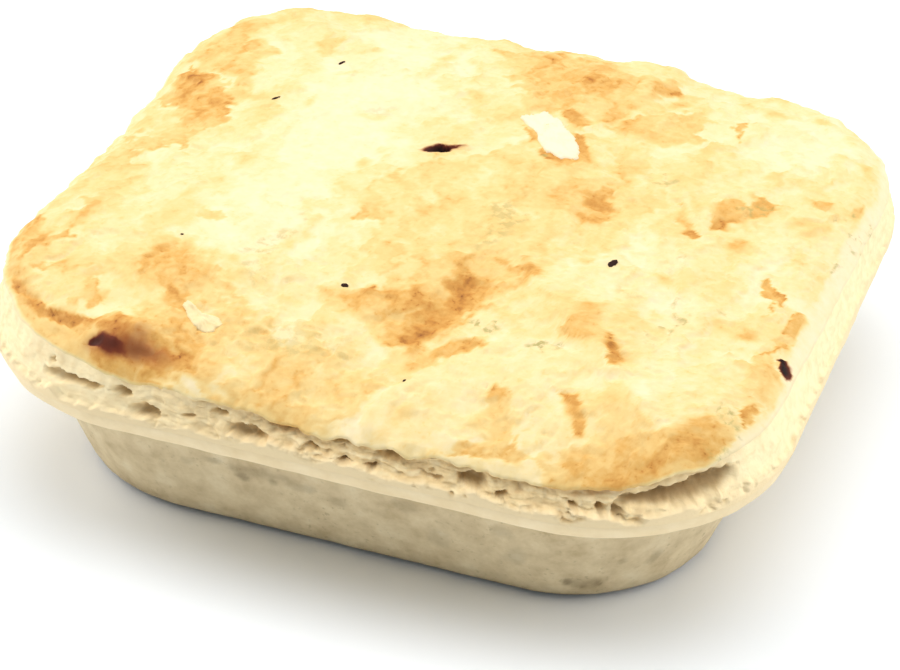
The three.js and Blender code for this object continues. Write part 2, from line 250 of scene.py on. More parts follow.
@dataclass(frozen=True)
class Leaf:
    """A paper-thin layer of the crust, with a torn outline and a browning of its own.

    Attributes:
        toast: How brown it is.
        outline: Corners of its outline, to the right and to the back.
        soft: Half the width over which its edge fades.
        step: How far it stands above what lies round it.
        char: How burnt it is.
        ragged: How much of the crust's ragged warp its outline takes.
    """

    toast: float
    outline: tuple[tuple[float, float], ...]
    soft: float = 0.3
    step: float = 0.06
    char: float = 0.0
    ragged: float = 1.0

    def depth(self, x: Array, y: Array) -> Array:
        """Distance inside the outline, negative outside it and cut off far away.

        Args:
            x: Places to the right.
            y: Places to the back.

        Returns:
            The distances.
        """
        far = 4.0
        corners = np.array(self.outline)
        (low_x, low_y), (high_x, high_y) = corners.min(0) - far, corners.max(0) + far
        near = (x > low_x) & (x < high_x) & (y > low_y) & (y < high_y)
        px, py = x[near], y[near]
        gap, inside = np.full(px.shape, far), np.zeros(px.shape, bool)
        for (ax, ay), (bx, by) in zip(corners, np.roll(corners, -1, 0)):
            ex, ey = bx - ax, by - ay
            t = np.clip(((px - ax) * ex + (py - ay) * ey) / (ex * ex + ey * ey), 0, 1)
            gap = np.minimum(gap, np.hypot(px - ax - t * ex, py - ay - t * ey))
            if ey:
                inside ^= ((ay > py) != (by > py)) & (px < ax + (py - ay) * ex / ey)
        found = np.full(x.shape, -far)
        found[near] = np.where(inside, gap, -gap)
        return found


@dataclass(frozen=True)
class EdgeStation:
    """The lid's edge at one place round the pie.

    Attributes:
        place: Corners counted round the pie: 0 front right, 1 back right, 2 back left, 3 front left.
        height: Height of the edge above the case.
        inset: Inset from the lip's outline.
        pale: Width of the unbrowned band that rolls on to the top.
        smooth: How closed and creamy the side is there, from 0 to 1.
        recess: How far the side stands back under the crust, as a share.
    """

    place: float
    height: float
    inset: float
    pale: float
    smooth: float
    recess: float


@dataclass(frozen=True)
class Rim:
    """The outline of the case's lip, seen from above: a square with wide round corners.

    Attributes:
        length: Size from left to right.
        width: Size from front to back.
        corner: Radius of the corners.
        corner_ease: How much tighter the corners get, for each millimetre inwards.
        wander: Pattern of the pressed lip's waves.
        wander_depth: How deep they are.
        wander_level: How much of the pattern counts as a wave.
    """

    length: float = 110.0
    width: float = 107.0
    corner: float = 26.5
    corner_ease: float = 0.6
    wander: Grain = Grain(26, 24, 2)
    wander_depth: float = 0.16
    wander_level: float = 0.6

    @property
    def around(self) -> float:
        """Length of the outline."""
        straight = 2 * (self.length + self.width) - 8 * self.corner
        return straight + 2 * math.pi * self.corner

    def stray(self, along: Array) -> Array:
        """How far the pressed lip strays inwards, by the length along the outline."""
        wander = self.wander.at(along, np.zeros_like(along), self.around)
        return np.maximum(0, self.wander_depth * (wander + self.wander_level))

    def at(self, place: Array, inset: Array) -> tuple[Array, Array, Array]:
        """Points of the outline, moved inwards.

        Args:
            place: Places round the pie, in corners from the front right one.
            inset: How far inwards.

        Returns:
            X, Y and the direction that the outline faces, in radians.
        """
        place, inset = np.broadcast_arrays(np.asarray(place, float) % 4, np.asarray(inset, float))
        side = np.floor(place)
        r = self.corner - self.corner_ease * inset
        half_x, half_y = self.length / 2 - inset, self.width / 2 - inset
        odd = side % 2 == 1
        reach = np.where(odd, half_y, half_x)
        straight = np.where(odd, half_x, half_y) - r
        walk = (place - side - 0.5) * 2 * (straight + r * math.pi / 4)
        bend = np.sign(walk) * np.maximum(0, np.abs(walk) - straight) / r
        forward = np.clip(walk, -straight, straight) + r * np.sin(bend)
        outward = reach - r + r * np.cos(bend)
        quarter = side * math.pi / 2
        c, s = np.cos(quarter), np.sin(quarter)
        return outward * c - forward * s, outward * s + forward * c, quarter + bend


def ring(count: int) -> tuple[Array, Array]:
    """Numbers of the points round a closed ring, and the number that follows each."""
    k = np.arange(count)
    return k, (k + 1) % count


def ring_quads(k: Array, following: Array, rings: int) -> Array:
    """Quads between closed rings of points, each ring joined to the next.

    Args:
        k: Numbers of the first ring's points.
        following: Number of the point that follows each.
        rings: How many rings there are.

    Returns:
        Corners of the quads: along a ring, and back along the next one.
    """
    count = len(k)
    base = (np.arange(rings - 1) * count)[:, None]
    quads = np.stack([base + k, base + following, base + count + following, base + count + k], -1)
    return quads.reshape(-1, 4)


def fan(tip: int, first: Array, second: Array) -> Array:
    """Triangles from one point to pairs of points round a ring."""
    return np.stack([np.full(len(first), tip), first, second], -1)


@dataclass
class Skin:
    """A mesh in the making: vertices in millimetres, faces and painted values.

    Attributes:
        name: Name of the piece.
        vertices: Points.
        faces: Groups of faces, each with one number of corners.
        paint: Painted values of each point.
        smooth: How many of the groups are shaded smooth, where not all of them are.
    """

    name: str
    vertices: Array
    faces: list[Array]
    paint: dict[Paint, Array] = field(default_factory=dict)
    smooth: int | None = None

    def build(self, material: bpy.types.Material) -> bpy.types.Object:
        """Makes the Blender object, in metres.

        Args:
            material: Finish of the whole object.

        Returns:
            The object, linked to the scene.
        """
        mesh = bpy.data.meshes.new(self.name)
        counts = np.concatenate([np.full(len(f), f.shape[1]) for f in self.faces])
        loops = np.concatenate([f.ravel() for f in self.faces]).astype(np.int32)
        starts = np.concatenate([[0], np.cumsum(counts)[:-1]]).astype(np.int32)
        rounded = sum(len(f) for f in self.faces[: self.smooth])
        mesh.vertices.add(len(self.vertices))
        mesh.vertices.foreach_set("co", (self.vertices * MM).astype(np.float32).ravel())
        mesh.loops.add(len(loops))
        mesh.loops.foreach_set("vertex_index", loops)
        mesh.polygons.add(len(starts))
        mesh.polygons.foreach_set("loop_start", starts)
        mesh.polygons.foreach_set("use_smooth", np.arange(len(starts)) < rounded)
        mesh.update(calc_edges=True)
        mesh.validate()
        for value, amounts in self.paint.items():
            layer = mesh.attributes.new(value.value, "FLOAT", "POINT")
            layer.data.foreach_set("value", amounts.astype(np.float32))
        mesh.materials.append(material)
        piece = bpy.data.objects.new(self.name, mesh)
        bpy.context.scene.collection.objects.link(piece)
        return piece


def add_node(
    tree: bpy.types.NodeTree,
    kind: str,
    inputs: Mapping[str | int, Any] | None = None,
    **settings: Any,
) -> bpy.types.Node:
    """Adds a node with its settings and links.

    Args:
        tree: Node tree of a material or world.
        kind: Blender's name of the node type.
        inputs: Sockets by name or number, each with a value or with the socket that feeds it.
        **settings: Properties of the node.

    Returns:
        The new node.
    """
    node = tree.nodes.new(kind)
    for name, value in settings.items():
        setattr(node, name, value)
    for name, value in (inputs or {}).items():
        if isinstance(value, bpy.types.NodeSocket):
            tree.links.new(value, node.inputs[name])
        else:
            node.inputs[name].default_value = value
    return node


@dataclass(frozen=True)
class Ramp:
    """Colours along a value from 0 to 1, as sRGB hex."""

    stops: tuple[tuple[float, str], ...]

    def fill(self, node: bpy.types.Node) -> None:
        """Writes the stops into a colour ramp node."""
        elements = node.color_ramp.elements
        while len(elements) < len(self.stops):
            elements.new(1.0)
        for element, (position, code) in zip(elements, self.stops):
            element.position = position
            element.color = linear(code)


def new_material(name: str) -> tuple[bpy.types.Material, bpy.types.NodeTree, bpy.types.Node]:
    """Makes an empty node material.

    Args:
        name: Name of the material.

    Returns:
        The material, its node tree and its output node.
    """
    material = bpy.data.materials.new(name)
    material.use_nodes = True
    tree = material.node_tree
    tree.nodes.clear()
    return material, tree, add_node(tree, "ShaderNodeOutputMaterial")


@dataclass(frozen=True)
class BakedPastry:
    """What the baked finishes share: dry pastry, whose fine grains leave it matt and gritty.

    Attributes:
        ior: Refraction of starch and fat.
        gleam: Share of a smooth face's gleam that is left.
        grit_mm: Size of the grains, drawn coarser than the real ones so that they show.
        grit_depth_mm: How far they stand out.
        grit_strength: How much of that relief shows.
    """

    ior: float = 1.45
    gleam: float = 0.2
    grit_mm: float = 0.4
    grit_depth_mm: float = 0.05
    grit_strength: float = 0.6

    def face(
        self,
        output: bpy.types.Node,
        colour: bpy.types.NodeSocket,
        roughness: float | bpy.types.NodeSocket,
        grit: bpy.types.NodeSocket,
    ) -> None:
        """Ends a material with the relief of the grains and the shader.

        Args:
            output: Output node of the material.
            colour: What gives the colour.
            roughness: The roughness, or what gives it.
            grit: Pattern of the grains.
        """
        tree = output.id_data
        bump = add_node(
            tree,
            "ShaderNodeBump",
            {"Height": grit, "Strength": self.grit_strength, "Distance": self.grit_depth_mm * MM},
        )
        shader = add_node(
            tree,
            "ShaderNodeBsdfPrincipled",
            {
                "Base Color": colour,
                "Roughness": roughness,
                "IOR": self.ior,
                "Specular IOR Level": self.gleam,
                "Normal": bump.outputs["Normal"],
            },
        )
        tree.links.new(shader.outputs["BSDF"], output.inputs["Surface"])


@dataclass(frozen=True)
class BakedPuffCrust(BakedPastry):
    """Puff pastry crust, rolled in layers and baked.

    The top skin dries and browns unevenly: cream where it stayed pale, gold on the swells,
    orange-brown at the edges and dark where it blistered. Crazed papery layers are tinted
    grey-olive, partly their own tint and partly painted shade in their fine cracks and along lifted
    flake edges. It is matt: the porous crumb leaves little of the gleam of its fat.
    """

    toast: Ramp = Ramp((
        (0.00, "f1e0c0"), (0.16, "eed9ab"), (0.30, "ecd39a"), (0.44, "eac986"), (0.57, "e5bd76"),
        (0.69, "dba75a"), (0.80, "c88a40"), (0.90, "945a2c"), (1.00, "60341e"),
    ))
    char: Ramp = Ramp(((0.0, "b8652b"), (0.35, "8c4022"), (0.6, "582414"), (1.0, "150a06")))
    crazed_and_shaded: str = "a99b5c"
    mottle_mm: float = 2.6
    mottle_tone: float = 0.045
    fleck_mm: float = 0.9
    fleck_tone: float = 0.035
    speck_tone: float = 0.06
    craze_mm: float = 1.5
    craze_share: float = 0.85
    dullness: tuple[float, float] = (0.55, 0.78)

    def material(self) -> bpy.types.Material:
        """Builds the material from the crust's painted values.

        Returns:
            The material.
        """
        material, tree, output = new_material("baked_puff_crust")
        place = add_node(tree, "ShaderNodeTexCoord").outputs["Object"]
        toast, char, crazed_and_shaded = (
            add_node(tree, "ShaderNodeAttribute", attribute_name=value.value).outputs["Fac"]
            for value in (Paint.TOAST, Paint.CHAR, Paint.CRAZED_AND_SHADED)
        )
        patterns = (self.mottle_mm, 5.0), (self.fleck_mm, 2.0), (self.craze_mm, 4.0), (self.grit_mm, 3.0)
        mottle, fleck, craze, grit = (
            add_node(
                tree,
                "ShaderNodeTexNoise",
                {"Vector": place, "Scale": per_metre(size), "Detail": detail, "Roughness": 0.6},
            ).outputs["Fac"]
            for size, detail in patterns
        )
        spans = (
            (mottle, 0.3, 0.7, -self.mottle_tone, self.mottle_tone),
            (fleck, 0.3, 0.7, -self.fleck_tone, self.fleck_tone),
            (fleck, 0.64, 0.72, 0.0, self.speck_tone),
            (craze, 0.46, 0.58, 0.0, self.craze_share),
            (char, 0.02, 0.5, 0.0, 1.0),
            (mottle, 0.3, 0.7, *self.dullness),
        )
        *uneven, crazing_and_shade, burnt, dull = (
            add_node(
                tree,
                "ShaderNodeMapRange",
                {"Value": value, "From Min": low, "From Max": high, "To Min": least, "To Max": most},
            ).outputs[0]
            for value, low, high, least, most in spans
        )
        for tone in uneven:
            toast = add_node(tree, "ShaderNodeMath", {0: toast, 1: tone}, operation="ADD").outputs[0]
        # Grey-olive crazing: partly the tint of crackled layers, partly painted shade in cracks and along
        # lifted edges.
        crazing_and_shade = add_node(tree, "ShaderNodeMath", {0: crazing_and_shade, 1: crazed_and_shaded}, operation="MULTIPLY")
        crust = add_node(tree, "ShaderNodeValToRGB", {"Fac": toast})
        self.toast.fill(crust)
        scorch = add_node(tree, "ShaderNodeValToRGB", {"Fac": char})
        self.char.fill(scorch)
        colour = crust.outputs["Color"]
        covers = (crazing_and_shade.outputs[0], linear(self.crazed_and_shaded)), (burnt, scorch.outputs["Color"])
        for share, over in covers:
            colour = add_node(
                tree, "ShaderNodeMix", {"Factor": share, "A": colour, "B": over}, data_type="RGBA"
            ).outputs["Result"]
        self.face(output, colour, dull, grit)
        return material


@dataclass(frozen=True)
class TornPuffLayers(BakedPastry):
    """The side of the puff pastry, where its layers rose apart and dried without browning.

    Dough that stayed closed is creamy; torn leaves are chalky beige, with a painted highlight on
    their crests. The air holes, pores and troughs between them, and the side under the crust's
    overhang, are painted a warm brown shade. It is fully matt.
    """

    crumb: Ramp = Ramp(((0.3, "e8c691"), (0.5, "f5d7a0"), (0.7, "ffe7b7")))
    # Cream of closed dough, also used for the painted highlight on the crests of torn leaves.
    cream: str = "fee9bb"
    foot: str = "f3dbae"
    painted_hollow_shade: str = "98774a"
    roughness: float = 0.8
    mottle_mm: float = 1.6
    gleam: float = 0.15
    grit_depth_mm: float = 0.1
    grit_strength: float = 0.8

    def material(self) -> bpy.types.Material:
        """Builds the material from the side's painted values.

        Returns:
            The material.
        """
        material, tree, output = new_material("torn_puff_layers")
        place = add_node(tree, "ShaderNodeTexCoord").outputs["Object"]
        cream, lip, painted_hollow_shade = (
            add_node(tree, "ShaderNodeAttribute", attribute_name=value.value).outputs["Fac"]
            for value in (Paint.CREAM, Paint.LIP, Paint.HOLLOW_SHADE)
        )
        mottle, grit = (
            add_node(
                tree,
                "ShaderNodeTexNoise",
                {"Vector": place, "Scale": per_metre(size), "Detail": 3.0, "Roughness": 0.6},
            ).outputs["Fac"]
            for size in (self.mottle_mm, self.grit_mm)
        )
        crumb = add_node(tree, "ShaderNodeValToRGB", {"Fac": mottle})
        self.crumb.fill(crumb)
        colour = crumb.outputs["Color"]
        for share, code in ((cream, self.cream), (lip, self.foot), (painted_hollow_shade, self.painted_hollow_shade)):
            over = linear(code)
            colour = add_node(
                tree, "ShaderNodeMix", {"Factor": share, "A": colour, "B": over}, data_type="RGBA"
            ).outputs["Result"]
        self.face(output, colour, self.roughness, grit)
        return material


@dataclass(frozen=True)
class MouldedShortcrust(BakedPastry):
    """Shortcrust pastry, pressed into a tin and baked.

    The tin gives it a close, even face of dull beige, mottled where flour and fat met the metal,
    with small dark pinpricks. The lip, which the tin's edge pressed flat, is smoother and paler.
    The foot is darker, partly scorched and partly painted shade where it meets the table, and a
    painted highlight runs along the rounding under the lip.
    """

    wall: Ramp = Ramp(((0.28, "bfa981"), (0.43, "cfba93"), (0.57, "dac69f"), (0.72, "e3d2ae")))
    lip: Ramp = Ramp(((0.3, "ecd3a5"), (0.7, "f6e1b9")))
    # Dark brown of the pinpricks and stains, also the colour of the painted shade at the foot.
    grime: str = "675539"
    mottle_mm: float = 4.0
    prick_mm: float = 0.8
    prick_share: float = 0.3
    dullness: tuple[float, float] = (0.6, 0.8)
    grit_mm: float = 0.35
    grit_depth_mm: float = 0.04
    grit_strength: float = 0.5

    def material(self) -> bpy.types.Material:
        """Builds the material from the case's painted values.

        Returns:
            The material.
        """
        material, tree, output = new_material("moulded_shortcrust")
        place = add_node(tree, "ShaderNodeTexCoord").outputs["Object"]
        lip, grime, stain_and_foot_shade = (
            add_node(tree, "ShaderNodeAttribute", attribute_name=value.value).outputs["Fac"]
            for value in (Paint.LIP, Paint.GRIME, Paint.STAIN_AND_FOOT_SHADE)
        )
        patterns = (self.mottle_mm, 4.0, 0.62), (self.prick_mm, 2.0, 0.5), (self.grit_mm, 2.0, 0.5)
        mottle, prick, grit = (
            add_node(
                tree,
                "ShaderNodeTexNoise",
                {"Vector": place, "Scale": per_metre(size), "Detail": detail, "Roughness": rough},
            ).outputs["Fac"]
            for size, detail, rough in patterns
        )
        spans = (prick, 0.62, 0.74, 0.0, self.prick_share), (mottle, 0.3, 0.7, *self.dullness)
        pricks, dull = (
            add_node(
                tree,
                "ShaderNodeMapRange",
                {"Value": value, "From Min": low, "From Max": high, "To Min": least, "To Max": most},
            ).outputs[0]
            for value, low, high, least, most in spans
        )
        pricks = add_node(tree, "ShaderNodeMath", {0: pricks, 1: grime}, operation="MULTIPLY")
        wall, band = (add_node(tree, "ShaderNodeValToRGB", {"Fac": mottle}) for _ in range(2))
        self.wall.fill(wall)
        self.lip.fill(band)
        colour, dark = wall.outputs["Color"], linear(self.grime)
        covers = (lip, band.outputs["Color"]), (pricks.outputs[0], dark), (stain_and_foot_shade, dark)
        for share, over in covers:
            colour = add_node(
                tree, "ShaderNodeMix", {"Factor": share, "A": colour, "B": over}, data_type="RGBA"
            ).outputs["Result"]
        self.face(output, colour, dull, grit)
        return material


@dataclass(frozen=True)
class PaleLaminate:
    """A plain pale studio table top, pressed laminate with a dull, even face."""

    colour: str = "f5f7f9"
    roughness: float = 0.75
    gleam: float = 0.1

    def material(self) -> bpy.types.Material:
        """Builds the material."""
        material, tree, output = new_material("pale_laminate")
        shader = add_node(
            tree,
            "ShaderNodeBsdfPrincipled",
            {
                "Base Color": linear(self.colour),
                "Roughness": self.roughness,
                "Specular IOR Level": self.gleam,
            },
        )
        tree.links.new(shader.outputs["BSDF"], output.inputs["Surface"])
        return material


@dataclass(frozen=True)
class Stain:
    """A darker blotch on the case's wall.

    Attributes:
        place: Place round the pie.
        level: Height above the foot.
        length: Half length along the wall.
        height: Half height.
        amount: How dark it is.
    """

    place: float
    level: float
    length: float
    height: float
    amount: float


@dataclass
class PastryCase:
    """The shortcrust case: a flat foot, a flared wall and a turned-out lip."""

    rim: Rim
    height: float = 21.0
    lip_thickness: float = 2.2
    lip_round: float = 0.7
    lip_crease: float = 0.03
    lip_fillet: float = 1.6
    lip_bead: float = 0.4
    wall_top_inset: float = 5.4
    foot_inset: float = 11.0
    foot_round: float = 3.3
    belly: float = 0.4
    foot_rings: tuple[float, ...] = (34.0, 24.0, 18.0, 15.5)
    seat_rings: tuple[float, ...] = (1.6, 4.0, 10.0, 24.0)
    wall_rows: int = 30
    lip_rows: int = 5
    stations: int = 960
    clearance: float = 0.04
    wall_fade: float = 1.5
    lip_fade: float = 0.3
    dents: Grain = Grain(23, 16, 1, 0.22)
    dimples: Grain = Grain(24, 5, 2, 0.1)
    pits: Grain = Grain(25, 1.6, 2)
    pit_level: float = 0.15
    pit_depth: float = 0.04
    pressed: Grain = Grain(22, 6, 3, 0.16)
    foot_waves: Grain = Grain(27, 6, 2, 0.05)
    # Painted highlight: share of the lip's paler colour carried on down its rounded underside.
    lip_painted_highlight: float = 0.35
    grimy: Grain = Grain(28, 11, 2, 0.7)
    ragged: Grain = Grain(29, 2.2, 3)
    # Painted shade: the lowest millimetres of the wall are darkened, partly scorch, partly the contact
    # shadow at the table.
    foot_painted_shade: float = 0.3
    foot_scorch_and_shadow: float = 0.95
    stain_wander: float = 0.35
    stains: tuple[Stain, ...] = (
        Stain(3.350, 11.2, 1.3, 0.8, 0.5),
        Stain(3.398, 11.8, 1.2, 0.8, 0.5),
        Stain(3.375, 12.6, 6.0, 1.4, 0.3),
        Stain(3.304, 13.0, 2.0, 0.7, 0.35),
        Stain(3.442, 11.9, 3.0, 1.2, 0.25),
        Stain(3.26, 11.7, 1.4, 1.0, 0.2),
        Stain(3.504, 10.8, 1.6, 1.2, 0.22),
        Stain(3.61, 13.0, 2.6, 1.6, 0.25),
        Stain(3.666, 7.5, 2.0, 2.4, 0.22),
        Stain(3.76, 12.6, 2.4, 1.4, 0.22),
        Stain(3.788, 8.1, 2.2, 2.0, 0.22),
        Stain(3.876, 4.2, 1.0, 0.9, 0.6),
        Stain(3.902, 3.4, 0.8, 0.7, 0.5),
        Stain(3.924, 3.9, 0.9, 0.7, 0.5),
        Stain(3.9, 4.0, 4.0, 1.6, 0.3),
        Stain(3.95, 8.5, 1.0, 0.8, 0.3),
        Stain(4.008, 8.1, 1.4, 2.0, 0.3),
        Stain(3.528, 2.2, 1.6, 1.2, 0.25),
        Stain(0.62, 4.5, 3.0, 1.4, 0.35),
        Stain(1.3, 11.0, 3.6, 1.6, 0.3),
        Stain(1.72, 3.8, 2.2, 1.0, 0.4),
        Stain(2.2, 9.0, 3.0, 2.0, 0.25),
        Stain(2.66, 4.0, 2.4, 1.2, 0.4),
    )

    def profile(self) -> tuple[Array, Array]:
        """Inset and height up the case, from the foot's middle ring to the lip's inner ring.

        Returns:
            Insets and heights.
        """
        under = self.height - self.lip_thickness
        flare = (self.foot_inset - self.wall_top_inset) / under
        lean = math.atan(flare)
        quarter = math.pi / 2
        rows: list[tuple[float, float]] = []

        def arc(inset: float, z: float, radius: float, start: float, end: float, steps: int) -> None:
            """Adds points of an arc, by the angle from straight outwards."""
            for angle in np.linspace(start, end, steps + 1):
                rows.append((inset - radius * math.cos(angle), z + radius * math.sin(angle)))

        def wall_inset(z: float) -> float:
            """Inset of the straight wall at a height."""
            return self.foot_inset - flare * z

        rows.extend((inset, 0.0) for inset in self.foot_rings)
        foot = wall_inset(self.foot_round) + self.foot_round / math.cos(lean)
        arc(foot, self.foot_round, self.foot_round, -quarter, -lean, 9)
        low = rows[-1][1]
        fillet_level = under - self.lip_fillet
        high = fillet_level + self.lip_fillet * math.sin(lean)
        for share in np.linspace(0, 1, self.wall_rows + 2)[1:-1]:
            z = mix(low, high, share)
            rows.append((wall_inset(z) - self.belly * math.sin(math.pi * share), z))
        fillet = wall_inset(fillet_level) - self.lip_fillet / math.cos(lean)
        arc(fillet, fillet_level, self.lip_fillet, math.pi - lean, quarter, 6)
        turned = self.lip_round + self.lip_bead
        rows.append((mix(rows[-1][0], turned, 0.5), under))
        arc(turned, under + self.lip_round, self.lip_round, -quarter, 0, 5)
        for share in np.linspace(0, 1, self.lip_rows + 2)[1:-1]:
            z = mix(under + self.lip_round, self.height - self.lip_crease, share)
            rows.append((self.lip_bead * (1 - share) ** 2, z))
        arc(self.lip_crease, self.height - self.lip_crease, self.lip_crease, 0, quarter, 3)
        rows.extend((inset, self.height) for inset in self.seat_rings)
        insets, heights = np.array(rows).T
        return insets, heights

    def skin(self) -> Skin:
        """Lofts the profile round the outline, with the dents and pits of baked pastry.

        Returns:
            The case's mesh.
        """
        insets, heights = self.profile()
        place = np.arange(self.stations) * 4 / self.stations
        walk = place / 4 * self.rim.around
        loop = self.rim.around
        inset, along = np.meshgrid(insets, walk, indexing="ij")
        level, where = np.meshgrid(heights, place, indexing="ij")
        under = self.height - self.lip_thickness
        on_wall = ease(0.0, self.wall_fade, level) * ease(under, under - self.wall_fade, level)
        on_wall = on_wall * (inset < 16)
        on_lip = ease(under - self.lip_fade, under + self.lip_fade, level) * (inset < 3)
        dent = self.dents.at(along, level, loop) + self.dimples.at(along, level, loop)
        pit = self.pit_depth * np.maximum(0, self.pits.at(along, level, loop) - self.pit_level)
        press = self.pressed.at(along, level, loop) * ease(self.height, self.height - 1, level)
        moved = inset + on_wall * (dent + pit) + on_lip * (self.rim.stray(along) + press)
        moved = np.maximum(moved, 0) + self.clearance
        x, y, _ = self.rim.at(where, moved)
        foot_rise = np.maximum(0, self.foot_waves.at(along, inset, loop)) * (level <= 0)
        z = np.clip(level + foot_rise, 0, self.height)
        vertices = np.stack([x, y, z], -1).reshape(-1, 3)
        last, tip = len(vertices) - self.stations, len(vertices)
        vertices = np.vstack([vertices, [[0, 0, 0], [0, 0, self.height]]])
        k, following = ring(self.stations)
        quads = ring_quads(k, following, len(insets))
        faces = [quads, fan(tip, following, k), fan(tip + 1, last + k, last + following)]
        # Painted highlight: the paler lip colour runs on under the lip's lower edge.
        lip = on_lip + self.lip_painted_highlight * ease(under - 2.2, under, level) * (inset < 8) * (1 - on_lip)
        patches = 0.5 + self.grimy.at(along, level, loop)
        grime = np.clip(patches + 0.5 * ease(5, 0.5, level), 0, 1) * (1 - 0.9 * on_lip)
        ragged = self.ragged.at(along, level, loop)
        # Painted shade: darker towards the foot, partly scorch and partly the contact shadow under the
        # wall, on top of the real stains.
        stain_and_foot_shade = self.foot_painted_shade * ease(4.2, 0.6, level + 0.7 * ragged)
        stain_and_foot_shade = np.maximum(stain_and_foot_shade, self.foot_scorch_and_shadow * ease(1.7, 0.2, level + 0.3 * ragged))
        for spot in self.stains:
            gap = ((where - spot.place + 2) % 4 - 2) * loop / 4
            reach = np.hypot(gap / spot.length, (level - spot.level) / spot.height)
            faded = ease(1.25, 0.3, reach + self.stain_wander * ragged)
            stain_and_foot_shade = np.maximum(stain_and_foot_shade, spot.amount * faded)
        ends = np.zeros(2)
        paint = {
            Paint.LIP: np.concatenate([lip.ravel(), ends]),
            Paint.GRIME: np.concatenate([grime.ravel(), ends]),
            Paint.STAIN_AND_FOOT_SHADE: np.concatenate([(stain_and_foot_shade * (1 - on_lip)).ravel(), ends]),
        }
        return Skin("pastry_case_shortcrust", vertices, faces, paint)

    def build(self, finish: MouldedShortcrust) -> bpy.types.Object:
        """Makes the case and lets it stand for its solid.

        Args:
            finish: The shortcrust finish.

        Returns:
            The case's object.
        """
        piece = self.skin().build(finish.material())
        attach(piece, "root")
        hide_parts("pastry_case")
        return piece


@dataclass(frozen=True)
class AirHole:
    """A hole between the layers of the lid's side.

    Attributes:
        place: Place round the pie.
        level: Share of the side's height.
        length: Length along the side.
        height: Height of the opening.
        depth: How far it goes in.
        dark: How dark its inside is painted, as painted shade.
        steep: Power of its bowl; less than 1 for steep sides.
    """

    place: float
    level: float
    length: float
    height: float
    depth: float = 1.5
    dark: float = 0.9
    steep: float = 0.5


@dataclass(frozen=True)
class Ledge:
    """A flake of the crust that ends in a step at the lid's edge.

    Attributes:
        start: Place round the pie where it begins.
        end: Place where it ends.
        rise: How far it stands above its neighbours.
    """

    start: float
    end: float
    rise: float


